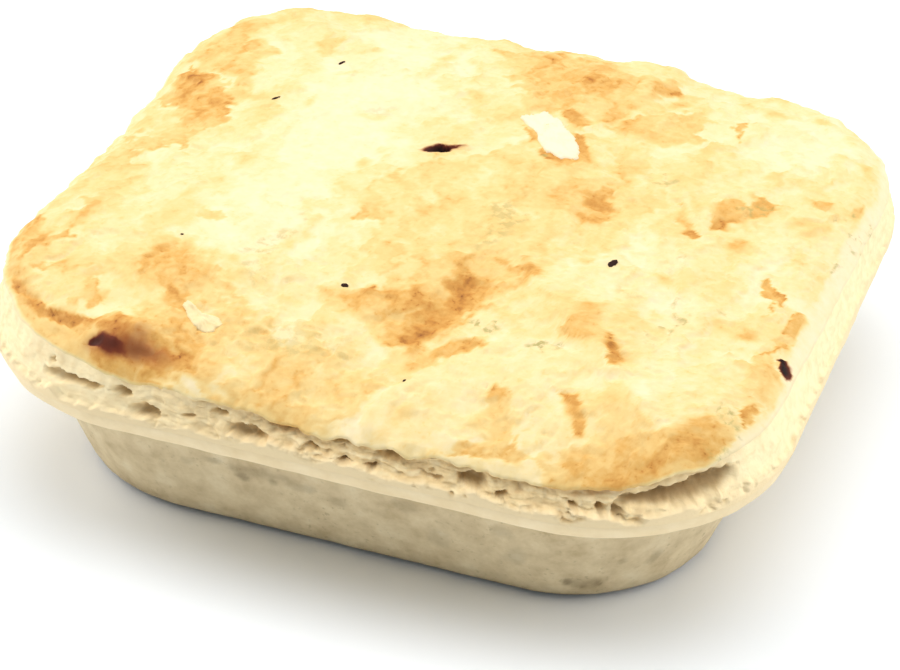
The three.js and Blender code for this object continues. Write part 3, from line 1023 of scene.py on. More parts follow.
@dataclass
class LidForm:
    """The broad form of the puff pastry lid: its wavy edge and its swollen top."""

    rim: Rim
    case_height: float = 21.0
    edge_waves: Grain = Grain(3, 9, 1, 0.45)
    edge_sway: float = 0.4
    nibbles: Grain = Grain(6, 3.4, 3, 0.5)
    nibbles_row: float = 3.1
    least_inset: float = 0.3
    scallops: Grain = Grain(4, 6.5, 3)
    scallop: float = 1.0
    scallop_level: float = 0.2
    flat_run: float = 14.0
    flattened: float = 0.45
    scallop_run: float = 1.4
    ledge_run: float = 5.0
    ledge_bevel: float = 0.012
    crown: float = 2.2
    crown_run: float = 5.0
    crown_curve: float = 2.4
    dome: float = 2.6
    swell_fade: float = 6.0
    edge: tuple[EdgeStation, ...] = (
        EdgeStation(0.0, 4.9, 2.6, 0.2, 0.5, 0.9),
        EdgeStation(0.12, 5.2, 2.7, 1.2, 0.95, 0.1),
        EdgeStation(0.5, 5.0, 2.0, 2.4, 0.85, 0.0),
        EdgeStation(0.8, 5.2, 1.4, 2.0, 0.8, 0.1),
        EdgeStation(1.0, 5.0, 0.9, 1.2, 0.6, 0.4),
        EdgeStation(1.2, 4.2, 1.3, 1.0, 0.3, 0.8),
        EdgeStation(1.36, 6.1, 1.2, 1.0, 0.3, 0.8),
        EdgeStation(1.52, 5.6, 1.3, 0.4, 0.3, 0.8),
        EdgeStation(1.75, 5.0, 1.4, 0.6, 0.3, 0.8),
        EdgeStation(2.0, 7.8, 1.4, 0.6, 0.3, 0.8),
        EdgeStation(2.45, 5.4, 1.2, 0.4, 0.3, 0.8),
        EdgeStation(2.8, 7.0, 1.2, 0.5, 0.5, 0.4),
        EdgeStation(3.0, 6.3, 2.0, 0.5, 0.85, 0.1),
        EdgeStation(3.15, 5.7, 2.3, 0.2, 0.85, 0.3),
        EdgeStation(3.28, 5.0, 2.3, 0.1, 0.4, 0.7),
        EdgeStation(3.5, 4.0, 1.9, 0.0, 0.0, 1.0),
        EdgeStation(3.86, 4.0, 2.0, 0.0, 0.1, 1.0),
    )
    ledges: tuple[Ledge, ...] = (
        Ledge(1.045, 1.178, 0.9),
        Ledge(1.197, 1.245, 0.35),
        Ledge(1.318, 1.405, 1.0),
        Ledge(1.457, 1.53, 0.6),
        Ledge(1.592, 1.628, 0.4),
        Ledge(2.2, 2.27, 0.5),
        Ledge(2.36, 2.4, 0.4),
    )
    swells: tuple[Spot, ...] = (
        Spot(2, -6, 20, 24, 0, 1.4),
        Spot(8, -26, 9, 3, 75, -1.1),
        Spot(-24, 4, 28, 8, 80, 0.7),
        Spot(20, 2, 22, 6, 90, -0.7),
        Spot(38, -38, 12, 8, 40, 0.8),
        Spot(-32, -28, 12, 9, -30, 0.9),
        Spot(6, 38, 14, 8, 0, 0.6),
        Spot(-29, -46.5, 4.6, 2.4, 12, 1.7),
        Spot(26, -21, 5, 3, -50, 0.7),
    )

    def along_edge(self, size: str, place: Array) -> Array:
        """One of the edge stations' sizes, changing smoothly round the pie.

        Args:
            size: Name of the station's field.
            place: Places round the pie.

        Returns:
            The size at each place.
        """
        first = self.edge[0]
        places = np.array([s.place for s in self.edge] + [first.place + 4])
        sizes = np.array([getattr(s, size) for s in self.edge] + [getattr(first, size)])
        place = np.asarray(place, float) % 4
        k = np.clip(np.searchsorted(places, place, "right") - 1, 0, len(self.edge) - 1)
        return mix(sizes[k], sizes[k + 1], ease(places[k], places[k + 1], place))

    def walk(self, place: Array) -> Array:
        """Length along the rim up to a place."""
        return np.asarray(place, float) % 4 / 4 * self.rim.around

    def tear(self, place: Array) -> Array:
        """Scalloped height of the edge, where the crust's flakes hang down over the side.

        Args:
            place: Places round the pie.

        Returns:
            Heights to add at the very edge.
        """
        walk, loop = self.walk(place), self.rim.around
        hang = self.scallop_level - np.abs(self.scallops.at(walk, np.zeros_like(walk), loop))
        return self.scallop * hang * (1 - 0.8 * self.along_edge("smooth", place))

    def ledge(self, place: Array) -> Array:
        """Height of the flakes that end in steps at the edge.

        Args:
            place: Places round the pie.

        Returns:
            Heights to add near the edge.
        """
        place, bevel = np.asarray(place, float) % 4, self.ledge_bevel
        rise = np.zeros_like(place)
        for step in self.ledges:
            inside = ease(step.start - bevel, step.start + bevel, place)
            rise = rise + step.rise * inside * ease(step.end + bevel, step.end - bevel, place)
        return rise

    def edge_at(self, place: Array) -> tuple[Array, Array]:
        """Height and inset of the edge, with its torn waves.

        Args:
            place: Places round the pie.

        Returns:
            Heights above the case and insets from the lip's outline.
        """
        walk, loop = self.walk(place), self.rim.around
        level = np.zeros_like(walk)
        broad = self.edge_waves.at(walk, level, loop)
        torn = 1 - 0.9 * self.along_edge("smooth", place)
        nibbled = torn * self.nibbles.at(walk, level + self.nibbles_row, loop)
        height = self.along_edge("height", place) + broad + self.tear(place) + self.ledge(place)
        inset = self.along_edge("inset", place) + self.edge_sway * broad + nibbled
        return height, np.maximum(inset, self.least_inset)

    def top(self, place: Array, share: Array) -> tuple[Array, Array, Array, Array]:
        """The top's broad form.

        Args:
            place: Places round the pie.
            share: Shares of the way from the middle to the edge.

        Returns:
            X, Y, Z and the distance from the edge.
        """
        height, inset = self.edge_at(place)
        edge_x, edge_y, _ = self.rim.at(place, inset)
        x, y = edge_x * share, edge_y * share
        from_edge = (1 - share) * np.hypot(edge_x, edge_y)
        roll = 1 - np.minimum(1, from_edge / self.crown_run)
        inner = 1 - share**2
        mean = float(np.mean([s.height for s in self.edge]))
        tear, ledge = self.tear(place), self.ledge(place)
        z = self.case_height + mix(height - tear - ledge, mean, inner)
        z = z + tear * ease(self.scallop_run, 0.0, from_edge)
        z = z + ledge * ease(self.ledge_run, 0.0, from_edge)
        crown = self.crown * (1 - roll**self.crown_curve)
        flat = self.flattened * self.along_edge("recess", place) * ease(self.flat_run, 0.0, from_edge)
        z = z + crown * (1 - flat) + self.dome * inner
        fade = np.minimum(1, from_edge / self.swell_fade)
        return x, y, z + fade * sum(s.swell(x, y) for s in self.swells), from_edge


@dataclass(frozen=True)
class Field:
    """Places on the crust, as its relief and its colours read them.

    Attributes:
        place: Places round the pie.
        x: Places to the right.
        y: Places to the back.
        from_edge: Distances from the edge.
        warp_x: Places to the right, moved about by chance to tear outlines ragged.
        warp_y: Places to the back, moved likewise.
        grain_x: Warped places for patterns, laid out flat where the edge rolls down.
        grain_y: The same to the back, drawn together, so that patterns run to the back.
        masks: How far each torn leaf covers the places.
    """

    place: Array
    x: Array
    y: Array
    from_edge: Array
    warp_x: Array
    warp_y: Array
    grain_x: Array
    grain_y: Array
    masks: tuple[Array, ...]


@dataclass(frozen=True)
class PaperLayer:
    """One of the outermost layers of the crust, which has peeled off in places by chance.

    Attributes:
        grain: Pattern of where it is still on.
        level: Where the pattern is cut; less is lost at a lower level.
        step: How thick it is.
        tone: How much browner it is than what it covers.
    """

    grain: Grain
    level: float
    step: float
    tone: float


@dataclass
class PuffCrust:
    """The browned skin of the lid, with torn paper-thin layers, a steam vent and a burnt blister."""

    form: LidForm
    cells: int = 300
    crowding: float = 0.2
    knee: float = 31.4
    headroom: float = 1.2
    thickness: float = 0.4
    closed_thickness: float = 0.75
    turned_under: tuple[tuple[float, float], ...] = ((0.5, 0.02), (1.0, 0.22), (0.9, 2.2))
    seal_run: float = 1.5
    under_middle: float = 24.2
    focus: tuple[float, float] = (-0.107, 0.175)
    focus_reach: float = 0.075
    focus_pull: float = 0.55
    base_toast: float = 0.33
    palest: float = 0.13
    brownest: float = 0.88
    tone_steps: float = 12.0
    tone_rise: float = 1.6
    grain_run: float = 0.5
    layers: tuple[PaperLayer, ...] = (
        PaperLayer(Grain(61, 14.0, 2), -0.1, 0.22, 0.07),
        PaperLayer(Grain(62, 8.0, 2), 0.05, 0.18, 0.06),
        PaperLayer(Grain(63, 4.5, 2), 0.15, 0.14, 0.05),
    )
    layer_curl: float = 0.35
    layer_rim_tone: float = 0.6
    warps: tuple[Grain, Grain] = (Grain(51, 6.5, 2, 1.8), Grain(52, 1.9, 2, 1.3))
    warp_apart: tuple[float, float] = (211, -97)
    fading: Grain = Grain(97, 6, 2, 6.0)
    bumps: Grain = Grain(71, 8.5, 2, 0.26)
    wrinkles: Grain = Grain(72, 2.6, 3, 0.1)
    creases: Grain = Grain(73, 5.5, 2)
    crease_depth: float = 0.16
    calm_run: float = 4.0
    broad_tones: Grain = Grain(91, 13, 3, 0.1)
    fine_tones: Grain = Grain(92, 4.5, 3, 0.13)
    leaf_tones: tuple[Grain, Grain] = (Grain(95, 4.2, 3, 0.17), Grain(94, 1.3, 2, 0.07))
    pale_edge: Grain = Grain(93, 5, 3, 0.5)
    pale_edge_tone: float = 0.1
    pale_edge_share: float = 0.9
    stepped_share: float = 0.75
    burnt_warp: tuple[float, float] = (0.4, 0.2)
    grooves: tuple[Spot, ...] = (
        Spot(-43.2, -42, 7, 0.6, -28, -0.5),
        Spot(30.5, -26, 4, 0.9, -62, -0.5),
        Spot(16.6, 4.6, 2.4, 0.5, 12, -0.3),
        Spot(-5, -11, 9, 0.8, -22, -0.35),
        Spot(14, -35, 7, 0.7, 28, -0.4),
        Spot(48, -16, 3, 0.6, 55, -0.4),
        Spot(45.5, -5, 4, 0.6, -62, -0.35),
    )
    washes: tuple[Spot, ...] = (
        Spot(-22, 2, 38, 7.5, 88, -0.2, 0.6),
        Spot(-17, 26, 16, 9, 72, -0.12, 0.7),
        Spot(-33, 14, 24, 8, 88, -0.1, 0.7),
        Spot(-14, -15, 8, 3, 86, -0.1, 0.6),
        Spot(37, -20, 9, 4, 84, -0.1, 0.6),
        Spot(18, -34, 9, 3.5, 28, -0.12, 0.5),
        Spot(22, -8, 5, 5, 0, -0.1, 0.7),
        Spot(40, 33, 9, 12, 0, -0.1, 0.8),
        Spot(44, 6, 5, 12, 0, -0.06, 0.8),
        Spot(-14, -49, 8, 1.6, -4, -0.16, 0.5),
        Spot(-44, -47, 8, 2, -38, -0.3, 0.5),
        Spot(-10, 20, 6, 5, 0, -0.15, 0.7),
        Spot(-36, -37, 9, 6, -30, 0.09, 0.8),
        Spot(1, -39.5, 7, 4, 0, 0.1, 0.8),
        Spot(10, -11, 5, 4, 0, 0.1, 0.8),
        Spot(50, -5, 3.5, 14, 0, 0.08, 0.8),
        Spot(20, 10, 6, 16, 0, -0.06, 0.8),
        Spot(9, -4, 6, 24, 0, 0.05, 0.8),
        Spot(31, 9, 6, 6, 0, 0.06, 0.8),
        Spot(31, -35, 6, 6, 0, 0.05, 0.8),
        Spot(-28, -40, 12, 5, 0, 0.05, 0.8),
        Spot(0, 6, 6, 20, 0, 0.05, 0.8),
        Spot(-1, -20, 6, 5, 0, 0.05, 0.8),
        Spot(22, -18, 7, 6, 0, -0.08, 0.8),
        Spot(20, -40, 8, 5, 0, -0.1, 0.8),
        Spot(21, 0, 5, 5, 0, -0.06, 0.8),
        Spot(-50, 18, 4, 20, 0, 0.06, 0.8),
        Spot(-49, -18, 5, 9, 0, 0.06, 0.8),
    )
    leaves: tuple[Leaf, ...] = (
        # Gold middle, to the right of the steam vent, and gold front left.
        Leaf(0.45, ((-2, 8), (2, 14), (3, 22), (14, 24), (24, 20), (26, 8), (24, -6), (16, -12), (8, -8),
            (2, 0)), soft=1.2),
        Leaf(0.47, ((-32, -40), (-26, -36), (-17, -37), (-8, -41), (-8, -47), (-15, -50),
            (-26, -46)), soft=1.0),
        # Browned left edge, near the front.
        Leaf(0.62, ((-56, -24), (-50.5, -26), (-49, -31), (-49.5, -36), (-50.3, -37.3),
            (-56, -33)), soft=0.5),
        # Browned back edge, with a pale flake over it.
        Leaf(0.60, ((-9.5, 43.5), (-4.5, 48), (4, 50), (10, 49), (13, 44), (17, 47), (19.5, 44),
            (17, 38), (14, 30), (10, 24.5), (5, 28), (1.5, 25), (-2.5, 31)), soft=1.0),
        Leaf(0.62, ((3, 45), (10, 43), (10.5, 38), (9.5, 33), (6.5, 37)), soft=0.9),
        Leaf(0.67, ((14.3, 42), (18, 46), (19, 43), (16.5, 40)), soft=0.8),
        Leaf(0.38, ((9, 46.5), (12, 53), (19, 53), (19.5, 48), (14, 44),
            (10.3, 43)), step=0.1, ragged=0.5),
        # Gold between the back edge and the middle.
        Leaf(0.53, ((13, 26), (16, 32), (22, 38), (26, 36), (25, 27.5), (18, 24)), soft=0.5),
        Leaf(0.54, ((4, 6.5), (7.5, 12), (13, 18), (15.5, 14), (20, 7), (20.5, 1), (12.5, -1),
            (7, 0)), soft=0.4),
        # Brown round the loose pale flake: partly browned crust, partly painted shadow of its lifted
        # edge.
        Leaf(0.76, ((5, 27.8), (6.6, 28.8), (8.9, 27.7), (10.2, 26.5), (9.7, 25),
            (8, 25.2)), soft=0.4, step=-0.1, ragged=0.5),
        Leaf(0.73, ((9.4, 22.6), (10.2, 23), (12.9, 17.6), (12.8, 15.3),
            (11.4, 16.8)), step=-0.1, ragged=0.4),
        Leaf(0.80, ((5.6, 15.6), (7.7, 14.5), (11.4, 14.2), (10.2, 12.6), (8.2, 12.7),
            (6, 14)), soft=0.35, step=-0.15, ragged=0.4),
        Leaf(0.68, ((0.9, 21.7), (3.5, 20.3), (4.7, 18.3), (4.2, 16.8),
            (2.5, 18.6)), soft=0.4, step=0.0, ragged=0.5),
        Leaf(0.64, ((14, 6.5), (17, 9), (20, 7), (18.5, 4.5), (16, 3.2)), soft=0.2),
        # Browned left side.
        Leaf(0.48, ((-51, -8), (-52, 0), (-50, 3.5), (-47, 0.5), (-46, -4.5), (-46.5, -10),
            (-48, -13)), soft=0.4),
        Leaf(0.55, ((-49, 24), (-46, 30), (-43, 31.5), (-40.5, 28.5), (-40, 24), (-39, 15),
            (-45.5, 23)), soft=0.4),
        Leaf(0.62, ((-52, 23), (-51, 29.5), (-49, 35), (-46, 38.5), (-43, 39.5), (-44, 34.5),
            (-48.5, 24.5)), soft=0.5),
        Leaf(0.62, ((-46.5, -4), (-45.5, 2), (-46, 9), (-51.5, 13.5), (-51.5, 21), (-47.5, 23.5),
            (-42, 17.5), (-39.5, 13.5), (-39, 7), (-41, 0), (-43.5, -2))),
        Leaf(0.67, ((-48.5, 14.5), (-49, 21), (-47, 22.5), (-43.5, 17.5), (-42, 13),
            (-46, 12)), soft=0.6),
        Leaf(0.66, ((-47, -27.5), (-48, -22.5), (-47.5, -19), (-45.5, -19.5), (-44.5, -24.5),
            (-45, -26.5)), soft=0.5),
        Leaf(0.70, ((-50, -35), (-51, -32), (-49.5, -30), (-47, -27.5), (-45.5, -30),
            (-48.5, -34.5)), soft=0.6),
        Leaf(0.57, ((-46, -36), (-40.5, -34.5), (-36.5, -37.5), (-35, -42), (-37.5, -42.5),
            (-42, -38)), soft=0.4),
        # Front left, above the blister.
        Leaf(0.50, ((-31.5, -20), (-31, -17), (-27, -17.5), (-27, -20), (-29.5, -20.5)), soft=0.25),
        Leaf(0.60, ((-35, -31.5), (-35, -28.5), (-31, -26), (-26.5, -29.5), (-22, -31.5), (-19, -36.5),
            (-24.5, -40), (-29, -38))),
        # Skin of the blister.
        Leaf(0.60, ((-27, -44.5), (-26, -41), (-22, -40), (-17, -41.5), (-13, -45.5), (-15.5, -48.5),
            (-20, -50), (-25, -50)), soft=0.7),
        Leaf(0.64, ((-33.5, -44.5), (-29, -45), (-25, -45), (-24, -41.5), (-20.5, -44), (-17, -43.5),
            (-16.5, -47.5), (-20, -50), (-24, -54), (-31, -54), (-33.5, -49)), soft=0.5),
        Leaf(0.70, ((-33, -46.2), (-28, -45.4), (-23.5, -45.6), (-22.8, -49.5), (-25, -54), (-31, -54),
            (-33, -49)), soft=1.0, step=0.0, ragged=0.6),
        # Fold to the left of the blister.
        Leaf(0.56, ((-54, -32), (-50, -37.3), (-48.5, -39.2), (-45, -41.6), (-41.5, -44.3), (-37, -45.4),
            (-33, -46.2), (-32.4, -48), (-33.5, -54), (-54, -54)), soft=0.7, step=-0.2, ragged=0.2),
        Leaf(0.80, ((-50.3, -36.5), (-48, -38.6), (-45, -40.7), (-41.7, -43.2), (-37, -44.2),
            (-33, -45.2), (-34, -46.6), (-41.7, -45.1), (-48.3, -40.2)), soft=0.7, step=-0.1, ragged=0.3),
        # Front edge, to the right of the blister.
        Leaf(0.50, ((-13, -44), (-6, -40), (0, -42), (7, -43.5), (2, -46.5), (-1, -54),
            (-14, -54)), soft=0.5),
        Leaf(0.56, ((-14, -49.5), (-9.5, -49), (-4, -48), (-1.5, -49), (-2, -54), (-13, -54)), soft=0.6),
        # Plateau in the middle.
        Leaf(0.47, ((-11, -3), (-9, 3), (-5, 7.5), (4, 7.5), (7, 0), (9, -10), (4, -16), (-3, -14),
            (-9, -12)), soft=0.8),
        Leaf(0.52, ((-11.5, -2), (-11, -9.5), (-9, -12), (-4, -13.5), (1.5, -15.5), (-0.5, -10),
            (-6, -4))),
        Leaf(0.52, ((-7, -19), (-4, -15.5), (-1.5, -17), (-2, -23), (-6, -21))),
        # Streak in the middle, from gold to brown.
        Leaf(0.63, ((-10.5, -29), (-1, -27), (1, -19), (6, -16), (13, -13.5), (16.5, -17), (13.5, -23),
            (11, -26), (8, -34), (15.5, -32.5), (10.5, -37), (4, -35), (-5, -31.5)), soft=1.0),
        Leaf(0.70, ((-3.5, -30), (-0.5, -27), (4.5, -25), (7, -18.5), (10.5, -19), (9, -28), (5, -34),
            (-1.5, -32)), soft=1.0),
        Leaf(0.78, ((4.8, -35), (3.6, -33.4), (4.8, -29.6), (6.4, -26), (7.2, -21.8), (8, -18.6),
            (9.9, -18.6), (10, -22.4), (9.4, -26), (8.6, -29.4),
            (7.2, -33.4)), soft=0.8, step=-0.1, ragged=0.25),
        # Pale sheet at the front, and the brown beside it.
        Leaf(0.30, ((3.8, -47), (5.6, -44.5), (8, -40.5), (7.7, -38.6), (10.9, -36.5), (14.9, -33.7),
            (15.2, -31.8), (17, -30.4), (21.2, -29), (25, -30), (27, -33), (26.4, -37.3), (24.4, -40.2),
            (22, -42), (20.6, -46.6), (16.6, -49.8), (15, -53),
            (6, -53)), soft=0.25, step=0.14, ragged=0.35),
        Leaf(0.68, ((8.6, -36.8), (12.2, -35), (14.9, -33.2), (13.8, -31), (10.6, -32),
            (8.4, -34.6)), soft=0.5, step=-0.1, ragged=0.6),
        # Fan and wedges, to the right of the sheet.
        Leaf(0.63, ((22.5, -27), (23.5, -23), (24, -20), (27, -19), (27.3, -23.4), (28.8, -25.7),
            (26.7, -27.8)), soft=0.45, step=0.0, ragged=0.5),
        Leaf(0.42, ((28.4, -23.6), (30.4, -22.5), (33, -23.4), (32, -27.3),
            (29.4, -25)), soft=0.2, step=0.15),
        Leaf(0.81, ((28.2, -24.7), (29.3, -24.6), (32.2, -28), (31.4, -29.8),
            (30.2, -30.3)), soft=0.25, step=-0.2, ragged=0.4),
        Leaf(0.75, ((26.6, -37.8), (29.2, -37.9), (30.9, -40.4), (31.6, -43.8), (30.6, -44.6),
            (29.3, -42)), soft=0.4, step=-0.1, ragged=0.4),
        # Curled flake on the right; the brown patches round its foot are partly painted shade.
        Leaf(0.66, ((28, 11.2), (30.2, 7.3), (31.2, 5.2), (30.4, 3.6),
            (28.6, 6.2)), soft=0.5, step=0.0, ragged=0.6),
        Leaf(0.76, ((33.6, 7.7), (36.3, 9.6), (38.2, 11.4), (38.2, 9.6), (35.8, 6.8),
            (33.9, 5.8)), soft=0.5, step=-0.1, ragged=0.5),
        Leaf(0.80, ((30.3, 3), (30.6, 5), (32.1, 5.5), (32.8, 4.2),
            (31.8, 2.7)), soft=0.4, step=-0.1, ragged=0.5),
        Leaf(0.73, ((37.2, 14.2), (37.3, 17.3), (38.8, 17), (40.2, 14.2), (39.6, 12),
            (38.2, 11)), soft=0.5, step=0.0, ragged=0.7),
        Leaf(0.66, ((33, 9.4), (33.1, 11.9), (33.4, 13.8), (34.8, 14.6), (36.6, 14.4), (37.6, 12.8),
            (37.9, 10.6), (36.3, 9.2), (34, 7.8)), step=0.25, ragged=0.3),
        Leaf(0.33, ((32, 6.6), (32, 11.1), (32.2, 13.8), (32.8, 16.6), (34.6, 17.4), (36.2, 16.9),
            (37.3, 15.4), (36.7, 14.3), (35.6, 15.3), (34.2, 15), (33.3, 13.7), (33, 11.9), (32.9, 9.6),
            (33.7, 7), (33.8, 5.2), (33.1, 4.4)), soft=0.2, step=0.25, ragged=0.25),
        Leaf(0.36, ((27.4, 12.6), (28.2, 13.3), (30.9, 8.3), (33, 4.8), (32.4, 4),
            (30.3, 6.8)), soft=0.2, step=0.2, ragged=0.25),
        # Specks at the back right.
        Leaf(0.45, ((45.4, 26.9), (46.1, 29), (47.3, 28.1), (47.2, 26.3),
            (46, 25.6)), soft=0.5, step=0.0),
        Leaf(0.42, ((45, 12.3), (45.6, 14.8), (47.4, 14.8), (47.8, 12.2),
            (46.3, 10.5)), soft=0.6, step=0.0),
        Leaf(0.64, ((28, 35), (31, 38), (30.8, 35), (30, 32)), soft=0.25),
        Leaf(0.60, ((39.5, 21.5), (39.3, 24.3), (40.2, 26), (40.4, 22.5)), soft=0.25),
        Leaf(0.61, ((44.6, 20.2), (45.9, 21.1), (47.9, 20.2), (47.2, 18.1), (45.6, 17.5)), ragged=0.5),
        Leaf(0.58, ((50.6, 20.5), (51.6, 23.3), (52.2, 20.3), (51.2, 18.6)), step=0.0, ragged=0.5),
        # Right edge.
        Leaf(0.70, ((43.5, -2.7), (44.4, -2.2), (47.8, -4.5), (46.3, -8.4), (45.4, -10),
            (45, -5.2)), soft=0.2, step=0.1),
        Leaf(0.68, ((48.6, -10.2), (48.7, -7.9), (50.2, -6.1), (51.5, -6.3), (51.2, -10), (50.7, -13),
            (48.8, -12.8)), soft=0.25, step=0.15, ragged=0.35),
        Leaf(0.54, ((46.2, -18.4), (48.6, -17.8), (50, -20), (51.5, -22), (51.2, -28.8),
            (48.3, -27)), soft=0.4),
        Leaf(0.79, ((46.3, -17), (48.2, -14.2), (50, -14), (49.2, -17),
            (47.3, -19.3)), soft=0.5, ragged=2.0),
        Leaf(0.73, ((47, -32), (48, -28), (50, -29.3), (50.7, -30), (49.8, -32.5), (48, -33))),
        # Browned band at the front right corner.
        Leaf(0.59, ((29, -53), (29, -50), (30.5, -47), (33.7, -43.8), (38, -41.2), (42.2, -38.2),
            (45.6, -35.6), (50, -36), (48.4, -42), (43.2, -47.2), (36.5, -51.6)), soft=1.4, ragged=0.6),
        Leaf(0.72, ((34, -50), (36.4, -46.8), (40.1, -43.4), (43, -40.6), (45.6, -39.4), (46.8, -40.6),
            (44.8, -44), (41.6, -47.2), (38, -49.8)), soft=1.5, step=0.03, ragged=0.5),
        # Flakes over the front edge.
        Leaf(0.54, ((18.1, -39.4), (20, -39.6), (22, -42), (21.5, -44.8), (24, -47), (22.6, -49.1),
            (20, -49), (18.8, -44.4)), soft=0.5, step=-0.1, ragged=0.7),
        Leaf(0.32, ((22.8, -41.8), (23.8, -39.8), (25.3, -38.9), (26.6, -40.2), (28.4, -43.4), (30, -47),
            (29.4, -48.2), (27.4, -46.8), (25.4, -44)), soft=0.22, step=0.12, ragged=0.3),
        Leaf(0.62, ((16.2, -50.4), (16.8, -49.4), (20.3, -48.9), (22.7, -48.6), (23.8, -46.6),
            (24.6, -45.6), (24.6, -47.8), (27.6, -47.8), (28.8, -49.4), (26.6, -49.4), (20, -51),
            (17, -51.4)), step=-0.05, ragged=0.6),
        Leaf(0.54, ((27.4, -48.2), (28.7, -47.4), (30.4, -48.8), (29.5, -50.2), (28, -50.8),
            (28.7, -49.3)), soft=0.2),
        Leaf(0.27, ((15.4, -51.2), (19.3, -50.6), (24.2, -49.8), (27.4, -48.6), (28.6, -50), (28, -51),
            (26, -52.4), (15.4, -52.8)), soft=0.15, step=0.15, ragged=0.25),
        # Back left, and the burnt nick in the right edge.
        Leaf(0.51, ((-35.3, 33), (-32.3, 36.2), (-32.2, 38), (-31.2, 35.5),
            (-31.8, 29.3)), soft=0.2, step=0.0, ragged=0.4),
        Leaf(0.80, ((49.8, -18.7), (50.2, -17.7), (51.2, -18.2), (51.9, -19.7), (51.7, -20.8),
            (50.7, -20.4)), soft=0.25, step=0.12, char=0.97, ragged=0.3),
    )
    burnt: tuple[Spot, ...] = (
        Spot(-31.7, -48.6, 1.2, 0.8, -12, 0.72, 0.7),
        Spot(-29.8, -48.6, 3.0, 1.0, 5, 0.6, 0.85),
        Spot(-26.6, -48.1, 3.9, 1.3, 0, 0.44, 0.9),
        Spot(-26.6, -47.0, 1.3, 1.5, 0, 0.3, 0.9),
        Spot(-29.0, -47.2, 2.6, 1.2, 0, 0.2, 0.9),
        Spot(-22.6, -47.6, 0.9, 0.7, 0, 0.16, 0.6),
    )
    # Grey-olive crazing: partly crackled layers, partly painted shade in fine cracks and along lifted
    # flake edges.
    crazed_and_shaded: tuple[Spot, ...] = (
        Spot(35, -19, 6.2, 0.8, 86, 0.8, 0.5),
        Spot(24.6, 14.6, 3.4, 1.4, 75, 0.7, 0.4),
        Spot(7.5, -7, 9, 1.6, 84, 0.55, 0.6),
        Spot(-18.5, -22, 12, 0.9, 88, 0.45, 0.6),
        Spot(-22, -24.5, 3, 1.0, -20, 0.45, 0.6),
        Spot(21.8, -30.6, 2.2, 1.1, 35, 1.0, 0.3),
        Spot(12.8, -27.6, 2.6, 1.0, 12, 1.0, 0.4),
        Spot(38.4, 14.5, 3.2, 0.7, 86, 0.7, 0.5),
        Spot(32.8, -4, 3, 0.8, 80, 0.5, 0.5),
        Spot(-8, -40, 8, 2.4, 10, 0.35, 0.6),
        Spot(8.6, 14.4, 2.2, 0.9, 30, 0.8, 0.4),
        Spot(28, -14, 2.4, 0.6, -50, 0.4, 0.5),
        Spot(-17, 16, 2.4, 1.0, 30, 0.3, 0.6),
        Spot(51.5, 7, 1.6, 0.5, 70, 0.8, 0.5),
        Spot(52.2, 14.5, 2.6, 0.5, 78, 0.7, 0.5),
        Spot(52.4, 20, 1.4, 0.5, 80, 0.8, 0.5),
        Spot(49.5, 16.5, 2.0, 0.6, 75, 0.6, 0.5),
        Spot(46.8, -34.5, 1.8, 0.9, 30, 0.9, 0.4),
        Spot(48.3, -38.5, 1.6, 0.7, 50, 0.8, 0.5),
        Spot(41, -12.5, 2.2, 0.5, 10, 0.5, 0.5),
    )
    vent: Spot = Spot(-5.6, 10.1, 3.1, 0.85, 29, -1.5, 0.35)
    vent_sag: float = 0.4
    vent_edge: Grain = Grain(74, 1.3, 2, 0.2)
    vent_rim: float = 1.2
    mouth_char: float = 0.75
    mouth: Spot = Spot(-32.3, -48.4, 0.9, 0.6, 10, -0.5, 0.5)

    def field(self, place: Array, x: Array, y: Array, from_edge: Array) -> Field:
        """Lays out places for the relief and the colours.

        Args:
            place: Places round the pie.
            x: Places to the right.
            y: Places to the back.
            from_edge: Distances from the edge.

        Returns:
            The places, warped, and how far each torn leaf covers them.
        """
        roll = 1 - np.minimum(1, from_edge / self.form.crown_run)
        drop = self.form.crown * roll**self.form.crown_curve
        outward = 1 + drop / np.maximum(1, np.hypot(x, y))
        flat_x, flat_y = x * outward, y * outward
        apart_x, apart_y = flat_x + self.warp_apart[0], flat_y + self.warp_apart[1]
        move_x = sum(warp.at(flat_x, flat_y) for warp in self.warps)
        move_y = sum(warp.at(apart_x, apart_y) for warp in self.warps)
        fade = 0.5 + np.maximum(0, self.fading.at(flat_x, flat_y))
        masks = []
        for leaf in self.leaves:
            depth = leaf.depth(x + leaf.ragged * move_x, y + leaf.ragged * move_y)
            masks.append(ease(-leaf.soft * fade, leaf.soft * fade, depth))
        return Field(
            place,
            x,
            y,
            from_edge,
            warp_x=x + move_x,
            warp_y=y + move_y,
            grain_x=flat_x + move_x,
            grain_y=(flat_y + move_y) * self.grain_run,
            masks=tuple(masks),
        )

    def peeled(self, field: Field) -> list[tuple[Array, Array]]:
        """Where each of the outermost paper-thin layers is still on, and where it ends.

        Args:
            field: Places on the crust.

        Returns:
            For each layer, a mask from 0 to 1 and a line along its torn edge.
        """
        found = []
        for layer in self.layers:
            grain = layer.grain.at(field.grain_x, field.grain_y)
            over = (grain - layer.level) * layer.grain.size
            found.append((ease(-0.25, 0.25, over), np.exp(-((over / 0.5) ** 2))))
        return found

